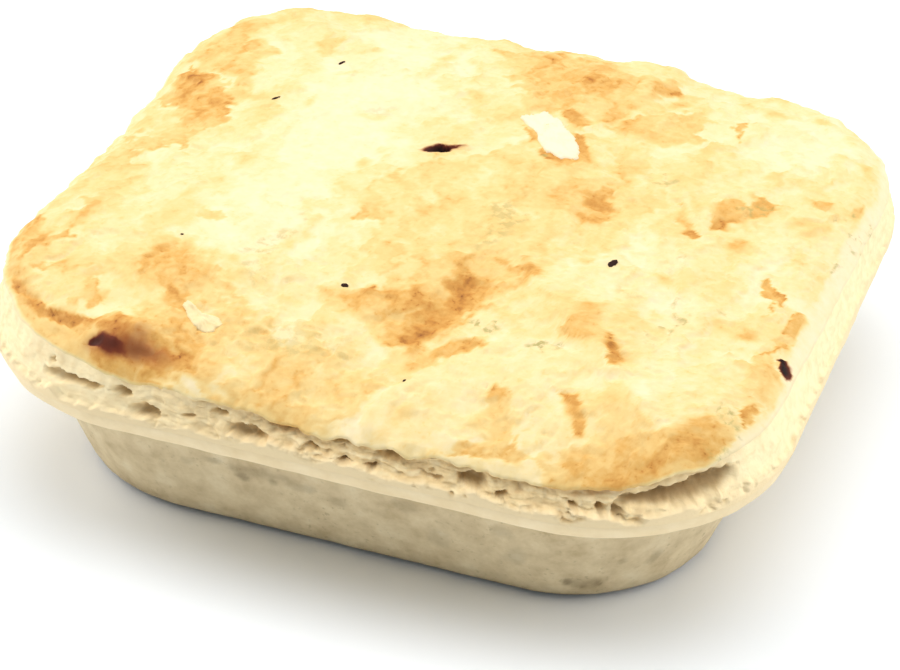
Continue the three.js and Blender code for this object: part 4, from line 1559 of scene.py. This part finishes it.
    def slit(self, x: Array, y: Array, wide: float) -> tuple[Array, Array, Array]:
        """How deep inside the curved steam vent a place is.

        Args:
            x: Places to the right.
            y: Places to the back.
            wide: Widens the outline, as a factor.

        Returns:
            Values from 0 outside to 1 inside, the place across the vent from -1 to 1, and a
            mask of its shallow right half.
        """
        c, s = math.cos(math.radians(self.vent.turn)), math.sin(math.radians(self.vent.turn))
        along = ((x - self.vent.x) * c + (y - self.vent.y) * s) / self.vent.along
        across = (y - self.vent.y) * c - (x - self.vent.x) * s - self.vent_sag * (1 - along**2)
        across = (across + self.vent_edge.at(x, y)) / self.vent.across
        reach = np.hypot(along, across)
        return ease(1.2 * wide, 0.7 * wide, reach), across, ease(-0.1, 0.25, along)

    def relief(self, field: Field, tone: Array) -> Array:
        """Fine relief of the top: layer steps, wrinkles, grooves and openings.

        Args:
            field: Places on the crust.
            tone: Browning there, before it is drawn into steps.

        Returns:
            Height to add.
        """
        gx, gy = field.grain_x, field.grain_y
        height = self.bumps.at(field.x, field.y) + self.wrinkles.at(gx, gy)
        for layer, (mask, line) in zip(self.layers, self.peeled(field)):
            height = height + layer.step * (mask - 0.5) + self.layer_curl * layer.step * line
        height = height + self.tone_rise * (terrace(tone, self.tone_steps) - tone)
        crease = 1 - np.abs(self.creases.at(gx, gy))
        height = height - self.crease_depth * ease(0.86, 1.0, crease)
        height = height * (0.3 + 0.7 * np.minimum(1, field.from_edge / self.calm_run))
        height = height + sum(g.swell(field.warp_x, field.warp_y) for g in self.grooves)
        height = height + sum(leaf.step * mask for leaf, mask in zip(self.leaves, field.masks))
        inside, _, shallow = self.slit(field.x, field.y, 1.0)
        height = height + self.vent.amount * inside * mix(1.0, 0.3, shallow)
        height = height + self.mouth.patch(field.x, field.y)
        closed = np.minimum(1, 1.25 * self.form.along_edge("smooth", field.place))
        return height * (1 - closed * ease(self.seal_run, 0.0, field.from_edge))

    def tone(self, field: Field) -> Array:
        """How brown the top is before its tones are drawn into steps.

        Args:
            field: Places on the crust.

        Returns:
            The browning, from 0 for cream to 1 for dark brown.
        """
        gx, gy = field.grain_x, field.grain_y
        toast = self.base_toast + self.broad_tones.at(field.x, field.y)
        toast = toast + self.fine_tones.at(gx, gy)
        for layer, (mask, line) in zip(self.layers, self.peeled(field)):
            toast = toast + layer.tone * (mask - 0.5) + self.layer_rim_tone * layer.tone * line
        toast = toast + sum(s.patch(field.warp_x, field.warp_y) for s in self.washes)
        uneven = sum(grain.at(gx, gy) for grain in self.leaf_tones)
        for leaf, mask in zip(self.leaves, field.masks):
            toast = mix(toast, leaf.toast + min(1.0, 0.1 + 0.9 * leaf.ragged) * uneven, mask)
        return np.clip(toast, self.palest, self.brownest)

    def paint(self, field: Field, tone: Array) -> dict[Paint, Array]:
        """Browning, burnt places, crazed places and painted shade of the top.

        Args:
            field: Places on the crust.
            tone: Browning there, before it is drawn into steps.

        Returns:
            The painted values.
        """
        x, y = field.x, field.y
        ragged = self.pale_edge.at(field.grain_x, field.grain_y)
        width = self.form.along_edge("pale", field.place) * (1 + ragged)
        pale = ease(width, width * 0.6 - 0.2, field.from_edge)
        char = np.zeros_like(x)
        for leaf, mask in zip(self.leaves, field.masks):
            char = np.maximum(char, leaf.char * mask)
        near_x = mix(x, field.warp_x, self.burnt_warp[0])
        near_y = mix(y, field.warp_y, self.burnt_warp[1])
        char = np.maximum.reduce([char, *(s.patch(near_x, near_y) for s in self.burnt)])
        # The steam vent is painted near black: char at its rim, painted shade down in the slit.
        inside, across, shallow = self.slit(x, y, self.vent_rim)
        char = np.maximum(char, inside * mix(1.0, mix(0.1, 0.7, ease(0.5, 0.9, across)), shallow))
        char = np.maximum(char, self.mouth_char * ease(1.3, 0.6, self.mouth.reach(x, y)))
        stepped = mix(tone, terrace(tone, self.tone_steps), self.stepped_share)
        crazed_and_shaded = sum(s.patch(field.warp_x, field.warp_y) for s in self.crazed_and_shaded)
        return {
            Paint.TOAST: mix(stepped, self.pale_edge_tone, self.pale_edge_share * pale),
            Paint.CHAR: np.clip(char, 0, 1),
            Paint.CRAZED_AND_SHADED: np.clip(crazed_and_shaded, 0, 1),
        }

    def grid(self) -> tuple[Array, Array]:
        """Square grid bent to the outline as concentric rings, and drawn together at the vent.

        Returns:
            Place and share of each grid point.
        """
        axis = np.linspace(-1, 1, self.cells + 1)
        s, t = np.meshgrid(axis, axis)
        far = ((s - self.focus[0]) ** 2 + (t - self.focus[1]) ** 2) / (2 * self.focus_reach**2)
        pull = self.focus_pull * np.exp(-far)
        s, t = mix(s, self.focus[0], pull), mix(t, self.focus[1], pull)
        ring = np.maximum(np.abs(s), np.abs(t))
        safe = np.where(ring > 0, ring, 1)
        place = np.select(
            [(s == ring) & (t < ring), (t == ring) & (s > -ring), (s == -ring) & (t > -ring)],
            [(t / safe + 1) / 2, 1 + (1 - s / safe) / 2, 2 + (1 - t / safe) / 2],
            3 + (s / safe + 1) / 2,
        )
        return place, mix(ring, np.sin(ring * math.pi / 2), self.crowding)

    def skin(self) -> Skin:
        """The top with its turned-under edge, closed from below.

        Returns:
            The crust's mesh.
        """
        n, stride, stations = self.cells, self.cells + 1, 4 * self.cells
        place, share = self.grid()
        x, y, z, from_edge = self.form.top(place, share)
        field = self.field(place, x, y, from_edge)
        tone = self.tone(field)
        full = z + self.relief(field, tone)
        over = np.maximum(0, full - self.knee)
        top_z = np.minimum(full, self.knee) + self.headroom * (1 - np.exp(-over / self.headroom))
        top = np.stack([x, y, top_z], -1).reshape(-1, 3)
        paint = {k: v.ravel() for k, v in self.paint(field, tone).items()}
        k = np.arange(n)
        rim = np.concatenate([k * stride + n, n * stride + n - k, (n - k) * stride, k])
        upper, edge = rim, top[rim]
        around = np.arange(stations) / n
        _, inset = self.form.edge_at(around)
        smooth = self.form.along_edge("smooth", around)
        thick = self.thickness * mix(1.0, self.closed_thickness, smooth)
        under = []
        for drop, tuck in self.turned_under:
            ux, uy, _ = self.form.rim.at(around, inset + tuck)
            under.append(np.stack([ux, uy, edge[:, 2] - drop * thick], -1))
        row, column = np.meshgrid(np.arange(n), np.arange(n), indexing="ij")
        a = (row * stride + column).ravel()
        quads = [np.stack([a, a + 1, a + stride + 1, a + stride], -1)]
        for level in range(len(under)):
            lower = len(top) + level * stations + np.arange(stations)
            quads.append(np.stack([lower, np.roll(lower, -1), np.roll(upper, -1), upper], -1))
            upper = lower
        vertices = np.vstack([top, *under, [[0.0, 0.0, self.under_middle]]])
        closing = fan(len(vertices) - 1, np.roll(upper, -1), upper)
        joined = {v: np.concatenate([w, *[w[rim] for _ in under], [0.0]]) for v, w in paint.items()}
        return Skin("puff_lid_crust", vertices, [*quads, closing], joined, smooth=1)

    def build(self, material: bpy.types.Material) -> bpy.types.Object:
        """Makes the crust, as one part of what stands for the lid's solid.

        Args:
            material: The crust's material.

        Returns:
            The crust's object.
        """
        piece = self.skin().build(material)
        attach(piece, "root")
        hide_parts("puff_lid")
        return piece


@dataclass
class PuffLayers:
    """The lid's body under the crust: torn pale layers with air holes between them."""

    form: LidForm
    stations: int = 1440
    rows: int = 60
    seam: float = 0.01
    foot_gap: float = 0.04
    foot_inset: float = 0.6
    foot_height: float = 1.1
    tuck: float = 0.15
    under_middle: float = 24.0
    set_back: tuple[tuple[float, float], ...] = (
        (0, 0), (0.07, -0.15), (0.25, -0.3), (0.42, 0),
        (0.62, 0.25), (0.8, 0.45), (0.93, 0.5), (1, 0.35),
    )
    sway: Grain = Grain(82, 7, 2, 0.5)
    leafing: Grain = Grain(81, 0.9, 2, stretch=7)
    lumps: Grain = Grain(83, 3.2, 2, stretch=1.5)
    crumbling: Grain = Grain(80, 1.2, 4, stretch=1.2)
    pores: Grain = Grain(86, 1.0, stretch=1.6)
    hole_sway: Grain = Grain(84, 1.7, 2, 0.6)
    hole_heave: Grain = Grain(85, 1.5, 2, 0.26)
    leaf_level: float = 0.3
    torn_leaf: float = 0.26
    torn_lump: float = 0.28
    torn_crumb: float = 0.32
    closed_leaf: float = 0.06
    closed_lump: float = 0.2
    closed_crumb: float = 0.09
    pore_depth: float = 0.3
    pore_shade: float = 0.3
    hole_shade: float = 0.78
    eaves_shade: float = 0.34
    trough_shade: float = 0.2
    crest_painted_highlight: float = 0.7
    holes: tuple[AirHole, ...] = (
        AirHole(3.098, 0.78, 0.9, 0.8, 0.9, 0.8),
        AirHole(3.11, 0.5, 3.4, 0.9, 0.9, 0.6),
        AirHole(3.135, 0.56, 5.0, 1.1),
        AirHole(3.165, 0.6, 3.4, 1.1),
        AirHole(3.215, 0.66, 2.6, 1.2),
        AirHole(3.255, 0.36, 3.8, 1.6),
        AirHole(3.315, 0.5, 2.0, 0.6, 0.8, 0.6),
        AirHole(3.355, 0.78, 2.2, 0.9),
        AirHole(3.40, 0.46, 5.0, 1.6),
        AirHole(3.445, 0.86, 3.6, 0.9),
        AirHole(3.46, 0.3, 2.0, 0.6, 0.8, 0.6),
        AirHole(3.49, 0.56, 1.2, 0.8),
        AirHole(3.507, 0.88, 5.0, 0.8),
        AirHole(3.535, 0.34, 3.0, 0.8),
        AirHole(3.575, 0.38, 1.1, 0.8),
        AirHole(3.6, 0.78, 3.6, 1.1),
        AirHole(3.66, 0.5, 3.0, 0.7, 0.9, 0.6),
        AirHole(3.712, 0.64, 4.4, 1.7),
        AirHole(3.75, 0.42, 1.8, 1.1),
        AirHole(3.845, 0.44, 2.0, 1.2),
        AirHole(3.88, 0.42, 1.2, 1.6),
        AirHole(3.902, 0.4, 1.4, 1.8),
        AirHole(3.932, 0.62, 7.0, 1.3, 1.4, 0.9, 0.8),
        AirHole(3.965, 0.57, 9.0, 1.8, 1.9, 1.0, 0.9),
        AirHole(4.0, 0.54, 9.0, 2.4, 2.3, 1.0, 0.9),
        AirHole(4.03, 0.6, 8.0, 2.4, 2.2, 1.0, 0.9),
        AirHole(4.055, 0.68, 5.0, 1.8, 1.6, 0.8, 1.0),
    )
    hidden_holes: int = 16
    hidden_seed: int = 41
    hidden_start: float = 1.1
    hidden_run: float = 1.7

    def all_holes(self) -> list[AirHole]:
        """The holes of the front and, by chance, of the sides that face away."""
        chance = np.random.default_rng(self.hidden_seed)
        made = list(self.holes)
        for k in range(self.hidden_holes):
            place = self.hidden_start + self.hidden_run * (k + chance.random()) / self.hidden_holes
            level, size, tall = chance.random(3)
            made.append(AirHole(place, 0.2 + 0.65 * level, 1.4 + 4.2 * size**2, 0.7 + 0.8 * tall))
        return made

    def opened(self, place: Array, z: Array) -> tuple[Array, Array]:
        """How far the air holes go in, and how dark their painted shade is.

        Args:
            place: Places round the pie.
            z: Heights above the case.

        Returns:
            Depths, and the darkness of the painted shade.
        """
        walk, loop = self.form.walk(place), self.form.rim.around
        along, up = self.hole_sway.at(walk, z, loop), self.hole_heave.at(walk, z, loop)
        depth, dark = np.zeros_like(z), np.zeros_like(z)
        for hole in self.all_holes():
            gap = ((place - hole.place + 2) % 4 - 2) * loop / 4
            middle = hole.level * self.form.along_edge("height", np.array([hole.place]))[0]
            reach = np.hypot((gap + along) / (hole.length / 2), (z - middle + up) / (hole.height / 2))
            inside = np.clip(1.15 - reach, 0, 1)
            depth = np.maximum(depth, hole.depth * inside**hole.steep)
            dark = np.maximum(dark, hole.dark * ease(0.05, 0.6, inside))
        return depth, dark

    def skin(self) -> Skin:
        """The side from under the crust down to the lip, closed above and below.

        Returns:
            The mesh of the layers.
        """
        form, loop = self.form, self.form.rim.around
        place = np.arange(self.stations) * 4 / self.stations
        level, where = np.meshgrid(1 - np.linspace(0, 1, self.rows), place, indexing="ij")
        walk = form.walk(where)
        height, edge_inset = form.edge_at(where)
        smooth, recess = form.along_edge("smooth", where), form.along_edge("recess", where)
        z = mix(self.seam, height - self.tuck * (1 - smooth) ** 2, level)
        back = np.interp(level, *zip(*self.set_back))
        back = np.where(back > 0, back * recess, back) * (1 - 0.8 * smooth)
        leaf = np.abs(self.leafing.at(walk, z + self.sway.at(walk, z * 0, loop), loop))
        lump = self.lumps.at(walk, z, loop)
        crumbly = self.crumbling.at(walk, z, loop)
        foot = ease(self.foot_height + 0.3, self.foot_height - 0.5, z + 0.9 * lump + 0.5 * crumbly)
        torn = (1 - smooth) ** 1.3 * (1 - foot)
        depth, dark = self.opened(where, z)
        depth, dark = depth * (1 - foot), dark * (1 - foot)
        pores = ease(0.25, 0.5, self.pores.at(walk, z, loop)) * torn
        lean = mix(level, level**1.6, smooth)
        inset = mix(self.foot_inset, edge_inset, lean) + back + depth + self.pore_depth * pores
        ridge = self.leaf_level - leaf
        relief = self.torn_leaf * ridge + self.torn_lump * lump + self.torn_crumb * crumbly
        inset = inset + torn * relief
        closed = smooth * (1 - foot) * ease(1.0, 0.75, level)
        relief = self.closed_lump * lump + self.closed_crumb * crumbly + self.closed_leaf * ridge
        inset = inset + closed * relief
        inset = mix(inset, form.rim.stray(walk) + self.foot_gap, foot)
        x, y, _ = form.rim.at(where, np.maximum(inset, self.foot_gap))
        vertices = np.stack([x, y, z + form.case_height], -1).reshape(-1, 3)
        last, tip = len(vertices) - self.stations, len(vertices)
        lowest = form.case_height + self.seam
        vertices = np.vstack([vertices, [[0, 0, self.under_middle], [0, 0, lowest]]])
        k, following = ring(self.stations)
        quads = ring_quads(k, following, self.rows)[:, ::-1]
        faces = [quads, fan(tip, k, following), fan(tip + 1, last + following, last + k)]
        # Painted shade: warm brown in the holes and pores, in the leaf troughs and under the crust's
        # overhang.
        eaves_painted_shade = self.eaves_shade * recess * ease(0.55, 0.95, level) * (0.7 + 1.2 * lump)
        trough_painted_shade = self.trough_shade * torn * ease(0.3, 0.02, leaf)
        holes = np.maximum(self.hole_shade * dark, self.pore_shade * pores)
        painted_hollow_shade = np.maximum.reduce([holes, eaves_painted_shade, trough_painted_shade])
        # Painted highlight: the crests of the torn leaves are painted cream.
        crest_highlight = self.crest_painted_highlight * torn * ease(0.3, 0.8, leaf + 0.3 * crumbly)
        crest_highlight = crest_highlight * ease(0.85, 0.6, level)
        cream = smooth * (0.9 + 0.5 * crumbly) + crest_highlight
        ends = np.zeros(2)
        paint = {
            Paint.HOLLOW_SHADE: np.concatenate([np.clip(painted_hollow_shade, 0, 1).ravel(), ends]),
            Paint.CREAM: np.concatenate([np.clip(cream, 0, 1).ravel(), ends]),
            Paint.LIP: np.concatenate([foot.ravel(), ends]),
        }
        return Skin("puff_lid_layers", vertices, faces, paint)

    def build(self, finish: TornPuffLayers) -> bpy.types.Object:
        """Makes the layers, as the other part of what stands for the lid's solid.

        Args:
            finish: The finish of the torn layers.

        Returns:
            The object of the layers.
        """
        piece = self.skin().build(finish.material())
        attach(piece, "root")
        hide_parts("puff_lid")
        return piece


@dataclass(frozen=True)
class Flake:
    """A paper-thin layer of the crust that has come loose.

    Attributes:
        outline: Corners of the flake, to the right and to the back.
        lift: How far its free edge stands off.
        free: Direction of its free edge from +X, in degrees.
        toast: How brown it is.
    """

    outline: tuple[tuple[float, float], ...]
    lift: float
    free: float
    toast: float


@dataclass(frozen=True)
class Crumb:
    """A small burnt crumb on the crust.

    Attributes:
        x: Middle, to the right.
        y: Middle, to the back.
        across: Half width.
        along: Half length.
        turn: Turn of the length from +X, in degrees.
    """

    x: float
    y: float
    across: float
    along: float
    turn: float


@dataclass
class LooseFlakes:
    """Flakes and burnt crumbs that lie on the lid."""

    crust: PuffCrust
    ground: BVHTree
    thickness: float = 0.16
    gap: float = 0.12
    rim_gap: float = 0.03
    ceiling: float = 32.84
    rings: int = 10
    spokes: int = 96
    flakes: tuple[Flake, ...] = (
        Flake((
            (1.1, 22.7), (1.7, 24.6), (3.3, 26.1), (5.4, 25.3), (7.5, 23), (9.6, 20.8), (11, 18.3),
            (12, 15), (9.6, 14), (7.3, 15), (5.6, 17.2), (4.2, 19.6), (2.2, 21.4),
        ), lift=0.14, free=-135, toast=0.0),
        Flake((
            (-24.3, -38.8), (-23.9, -37.9), (-22.7, -38.5), (-21.4, -39.1), (-19.9, -39.2),
            (-18.7, -39.5), (-18.1, -40.4), (-18.6, -41.6), (-19.8, -42.1), (-21.2, -41.8),
            (-22.5, -40.9), (-23.4, -39.8),
        ), lift=0.12, free=-90, toast=0.2),
    )
    crumbs: tuple[Crumb, ...] = (
        Crumb(24.5, -8.8, 0.5, 1.0, 80),
        Crumb(-6.3, -27.5, 0.4, 0.5, 0),
        Crumb(-28.9, 28.5, 0.25, 0.7, 70),
        Crumb(-34.0, 15.6, 0.2, 0.75, 55),
        Crumb(-30.6, -24.9, 0.18, 0.25, 0),
        Crumb(7.4, -41.6, 0.16, 0.35, 60),
    )
    crumb_rings: int = 8
    crumb_spokes: int = 14
    crumb_seed: int = 300
    crumb_char: float = 0.92

    def height(self, x: float, y: float) -> float:
        """Height of the lid's surface under a place."""
        hit = self.ground.ray_cast(Vector((x * MM, y * MM, 0.1)), Vector((0, 0, -1)))[0]
        return hit.z / MM if hit else self.crust.form.case_height

    def outline_points(self, flake: Flake, seed: int) -> Array:
        """The flake's outline as a smooth loop through its corners, torn a little.

        Args:
            flake: The flake.
            seed: Picks its chance tears.

        Returns:
            Points of the loop.
        """
        corners = np.array(flake.outline)
        count = len(corners)
        t = np.arange(self.spokes) * count / self.spokes
        k = np.floor(t).astype(int)
        u = (t - k)[:, None]
        p0, p1, p2, p3 = (corners[(k + d) % count] for d in (-1, 0, 1, 2))
        bend = (2 * p0 - 5 * p1 + 4 * p2 - p3) * u**2 + (3 * p1 - p0 - 3 * p2 + p3) * u**3
        loop = mix(mix(p1, p2, u), p1 + 0.5 * ((p2 - p0) * u + bend), 0.5)
        middle = corners.mean(0)
        x, y = loop.T
        tears = Grain(seed, 1.5, 2, 0.09), Grain(seed + 50, 0.5, 2, 0.05)
        tear = sum(grain.at(x, y) for grain in tears)
        return middle + (loop - middle) * (1 + tear)[:, None]

    def flake_skin(self, flake: Flake, seed: int) -> Skin:
        """A closed thin sheet, bent to the lid and lifted at one side.

        Args:
            flake: The flake.
            seed: Picks its chance shape.

        Returns:
            The flake's mesh.
        """
        loop = self.outline_points(flake, seed)
        middle = loop.mean(0)
        share = np.linspace(0, 1, self.rings + 1)[1:]
        points = middle + share[:, None, None] * (loop - middle)[None]
        x = np.append(points[..., 0].ravel(), middle[0])
        y = np.append(points[..., 1].ravel(), middle[1])
        ground = np.array([self.height(px, py) for px, py in zip(x, y)])
        free = math.radians(flake.free)
        lean = (x - middle[0]) * math.cos(free) + (y - middle[1]) * math.sin(free)
        curl = flake.lift * ease(-0.5, 1.0, lean / np.abs(lean).max())
        curl = curl + Grain(seed + 90, 1.8, 2, 0.05).at(x, y)
        rim = np.append(np.repeat(share, self.spokes), 0.0)
        thick = self.thickness * (1 - 0.6 * rim**4)
        upper = np.minimum(ground + self.rim_gap + (self.gap + curl) * (1 - rim**6), self.ceiling)
        vertices = np.vstack([np.stack([x, y, upper], -1), np.stack([x, y, upper - thick], -1)])
        count, rings, half = self.spokes, self.rings, len(x)
        k, following = ring(count)
        turning = np.sum(loop[:, 0] * np.roll(loop[:, 1], -1) - np.roll(loop[:, 0], -1) * loop[:, 1])
        if turning < 0:
            k, following = following, k
        quads = ring_quads(k, following, rings)[:, [0, 3, 2, 1]]
        centre = fan(half - 1, k, following)
        outer = (rings - 1) * count
        wall = np.stack([outer + k, outer + half + k, outer + half + following, outer + following], -1)
        faces = [quads, quads[:, ::-1] + half, centre, centre[:, ::-1] + half, wall]
        uneven = Grain(seed + 70, 2.4, 2, 0.03).at(x, y)
        tone = np.clip(flake.toast + uneven + 0.04 * rim**8, 0, 1)
        none = np.zeros(2 * half)
        paint = {Paint.TOAST: np.concatenate([tone, tone]), Paint.CHAR: none, Paint.CRAZED_AND_SHADED: none}
        return Skin(f"loose_flake_{seed:02d}", vertices, faces, paint)

    def crumb_skin(self, index: int) -> Skin:
        """A small burnt crumb, half sunk in the crust.

        Args:
            index: Which of the crumbs.

        Returns:
            The crumb's mesh.
        """
        crumb, rings, spokes = self.crumbs[index], self.crumb_rings, self.crumb_spokes
        polar = np.linspace(0, math.pi, rings + 2)[1:-1]
        angle = np.arange(spokes) * 2 * math.pi / spokes
        p, a = np.meshgrid(polar, angle, indexing="ij")
        grain = Grain(self.crumb_seed + index, 0.9, 2, 0.22)
        lump = 1 + grain.at(np.cos(a) * np.sin(p) * 2, np.sin(a) * 2 + p)
        u = np.sin(p) * np.cos(a) * crumb.along * lump
        v = np.sin(p) * np.sin(a) * crumb.across * lump
        c, s = math.cos(math.radians(crumb.turn)), math.sin(math.radians(crumb.turn))
        x, y, ground = crumb.x, crumb.y, self.height(crumb.x, crumb.y)
        tall = 0.55 * crumb.across
        points = np.stack([x + u * c - v * s, y + u * s + v * c, ground + np.cos(p) * tall * lump], -1)
        ends = [[x, y, ground + tall], [x, y, ground - tall]]
        vertices = np.vstack([points.reshape(-1, 3), ends])
        last, tip = (rings - 1) * spokes, rings * spokes
        k, following = ring(spokes)
        quads = ring_quads(k, following, rings)[:, [0, 3, 2, 1]]
        faces = [quads, fan(tip, k, following), fan(tip + 1, last + following, last + k)]
        none = np.zeros(len(vertices))
        char = np.full(len(vertices), self.crumb_char)
        paint = {Paint.TOAST: none, Paint.CRAZED_AND_SHADED: none, Paint.CHAR: char}
        return Skin(f"burnt_crumb_{index:02d}", vertices, faces, paint)

    def build(self, material: bpy.types.Material) -> list[bpy.types.Object]:
        """Makes the flakes and crumbs.

        Args:
            material: The crust's material.

        Returns:
            Their objects.
        """
        skins = [self.flake_skin(flake, k) for k, flake in enumerate(self.flakes)]
        skins += [self.crumb_skin(k) for k in range(len(self.crumbs))]
        pieces = [skin.build(material) for skin in skins]
        for piece in pieces:
            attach(piece, "root")
        return pieces


@dataclass(frozen=True)
class SoftBox:
    """A large round studio light that shines at the pie.

    Attributes:
        name: Name of the light.
        watts: Power.
        size: Width of its face.
        place: Where it hangs.
    """

    name: str
    watts: float
    size: float
    place: tuple[float, float, float]


@dataclass
class Studio:
    """The pale table, the soft light and the camera."""

    target: tuple[float, float, float] = (2.459, -10.122, 15.0)
    azimuth: float = 18.903
    elevation: float = 33.442
    roll: float = 1.839
    distance: float = 411.6
    focal_px: float = 3001.0
    image_width_px: float = 900.0
    sensor_mm: float = 36.0
    table_mm: float = 3000.0
    sky: float = 0.36
    sky_tint: tuple[float, float, float, float] = (0.84, 0.94, 1.0, 1.0)
    boxes: tuple[SoftBox, ...] = (
        SoftBox("soft_top", 9.5, 1300.0, (40.0, 200.0, 1050.0)),
        SoftBox("soft_left", 8.0, 900.0, (-950.0, 20.0, 560.0)),
        SoftBox("soft_right", 6.0, 900.0, (950.0, 250.0, 560.0)),
        SoftBox("soft_front", 1.2, 500.0, (-600.0, -1000.0, 80.0)),
    )

    def table(self) -> bpy.types.Object:
        """Lays the table top under the pie."""
        half = self.table_mm / 2
        corners = np.array([[-1, -1, 0], [1, -1, 0], [1, 1, 0], [-1, 1, 0]]) * half
        floor = Skin("table_top", corners, [np.array([[0, 1, 2, 3]])]).build(PaleLaminate().material())
        return floor

    def light(self) -> None:
        """Hangs the soft lights, and an even white sky for fill."""
        world = bpy.data.worlds.new("studio_sky")
        bpy.context.scene.world = world
        world.use_nodes = True
        background = world.node_tree.nodes["Background"]
        background.inputs["Color"].default_value = self.sky_tint
        background.inputs["Strength"].default_value = self.sky
        for box in self.boxes:
            lamp = bpy.data.lights.new(box.name, "AREA")
            lamp.shape = "DISK"
            lamp.size = box.size * MM
            lamp.energy = box.watts
            light = bpy.data.objects.new(box.name, lamp)
            light.location = Vector(box.place) * MM
            light.rotation_mode = "QUATERNION"
            light.rotation_quaternion = (-light.location).to_track_quat("-Z", "Y")
            bpy.context.scene.collection.objects.link(light)

    def camera(self) -> bpy.types.Object:
        """Sets up the camera at the photograph's angle."""
        a, e, r = (math.radians(v) for v in (self.azimuth, self.elevation, self.roll))
        back = Vector((math.sin(a) * math.cos(e), -math.cos(a) * math.cos(e), math.sin(e)))
        right = Vector((math.cos(a), math.sin(a), 0.0))
        up = back.cross(right)
        right, up = right * math.cos(r) + up * math.sin(r), up * math.cos(r) - right * math.sin(r)
        lens = bpy.data.cameras.new("camera")
        lens.sensor_width = self.sensor_mm
        lens.lens = self.focal_px / self.image_width_px * self.sensor_mm
        lens.clip_start = 0.01
        lens.clip_end = 20.0
        camera = bpy.data.objects.new("camera", lens)
        eye = (Vector(self.target) + back * self.distance) * MM
        turn = Matrix((right, up, back)).transposed().to_4x4()
        camera.matrix_world = Matrix.Translation(eye) @ turn
        bpy.context.scene.collection.objects.link(camera)
        bpy.context.scene.camera = camera
        return camera

    def build(self) -> None:
        """Makes the table, the light and the camera, with plain display colours."""
        self.table()
        self.light()
        self.camera()
        bpy.context.scene.view_settings.view_transform = "Standard"
        bpy.context.scene.view_settings.look = "None"


def report(piece: bpy.types.Object) -> None:
    """Logs a piece's name and how many faces it has."""
    LOG.info("%s: %d faces", piece.name, len(piece.data.polygons))


def main() -> None:
    """Builds the studio, the case, the lid and what lies on it."""
    logging.basicConfig(level=logging.INFO, format="%(name)s %(message)s")
    Studio().build()
    rim = Rim()
    report(PastryCase(rim).build(MouldedShortcrust()))
    form = LidForm(rim)
    report(PuffLayers(form).build(TornPuffLayers()))
    browned = BakedPuffCrust().material()
    crust = PuffCrust(form)
    lid = crust.build(browned)
    report(lid)
    points = [v.co for v in lid.data.vertices]
    ground = BVHTree.FromPolygons(points, [p.vertices for p in lid.data.polygons])
    for piece in LooseFlakes(crust, ground).build(browned):
        report(piece)


if __name__ == "__main__":
    main()
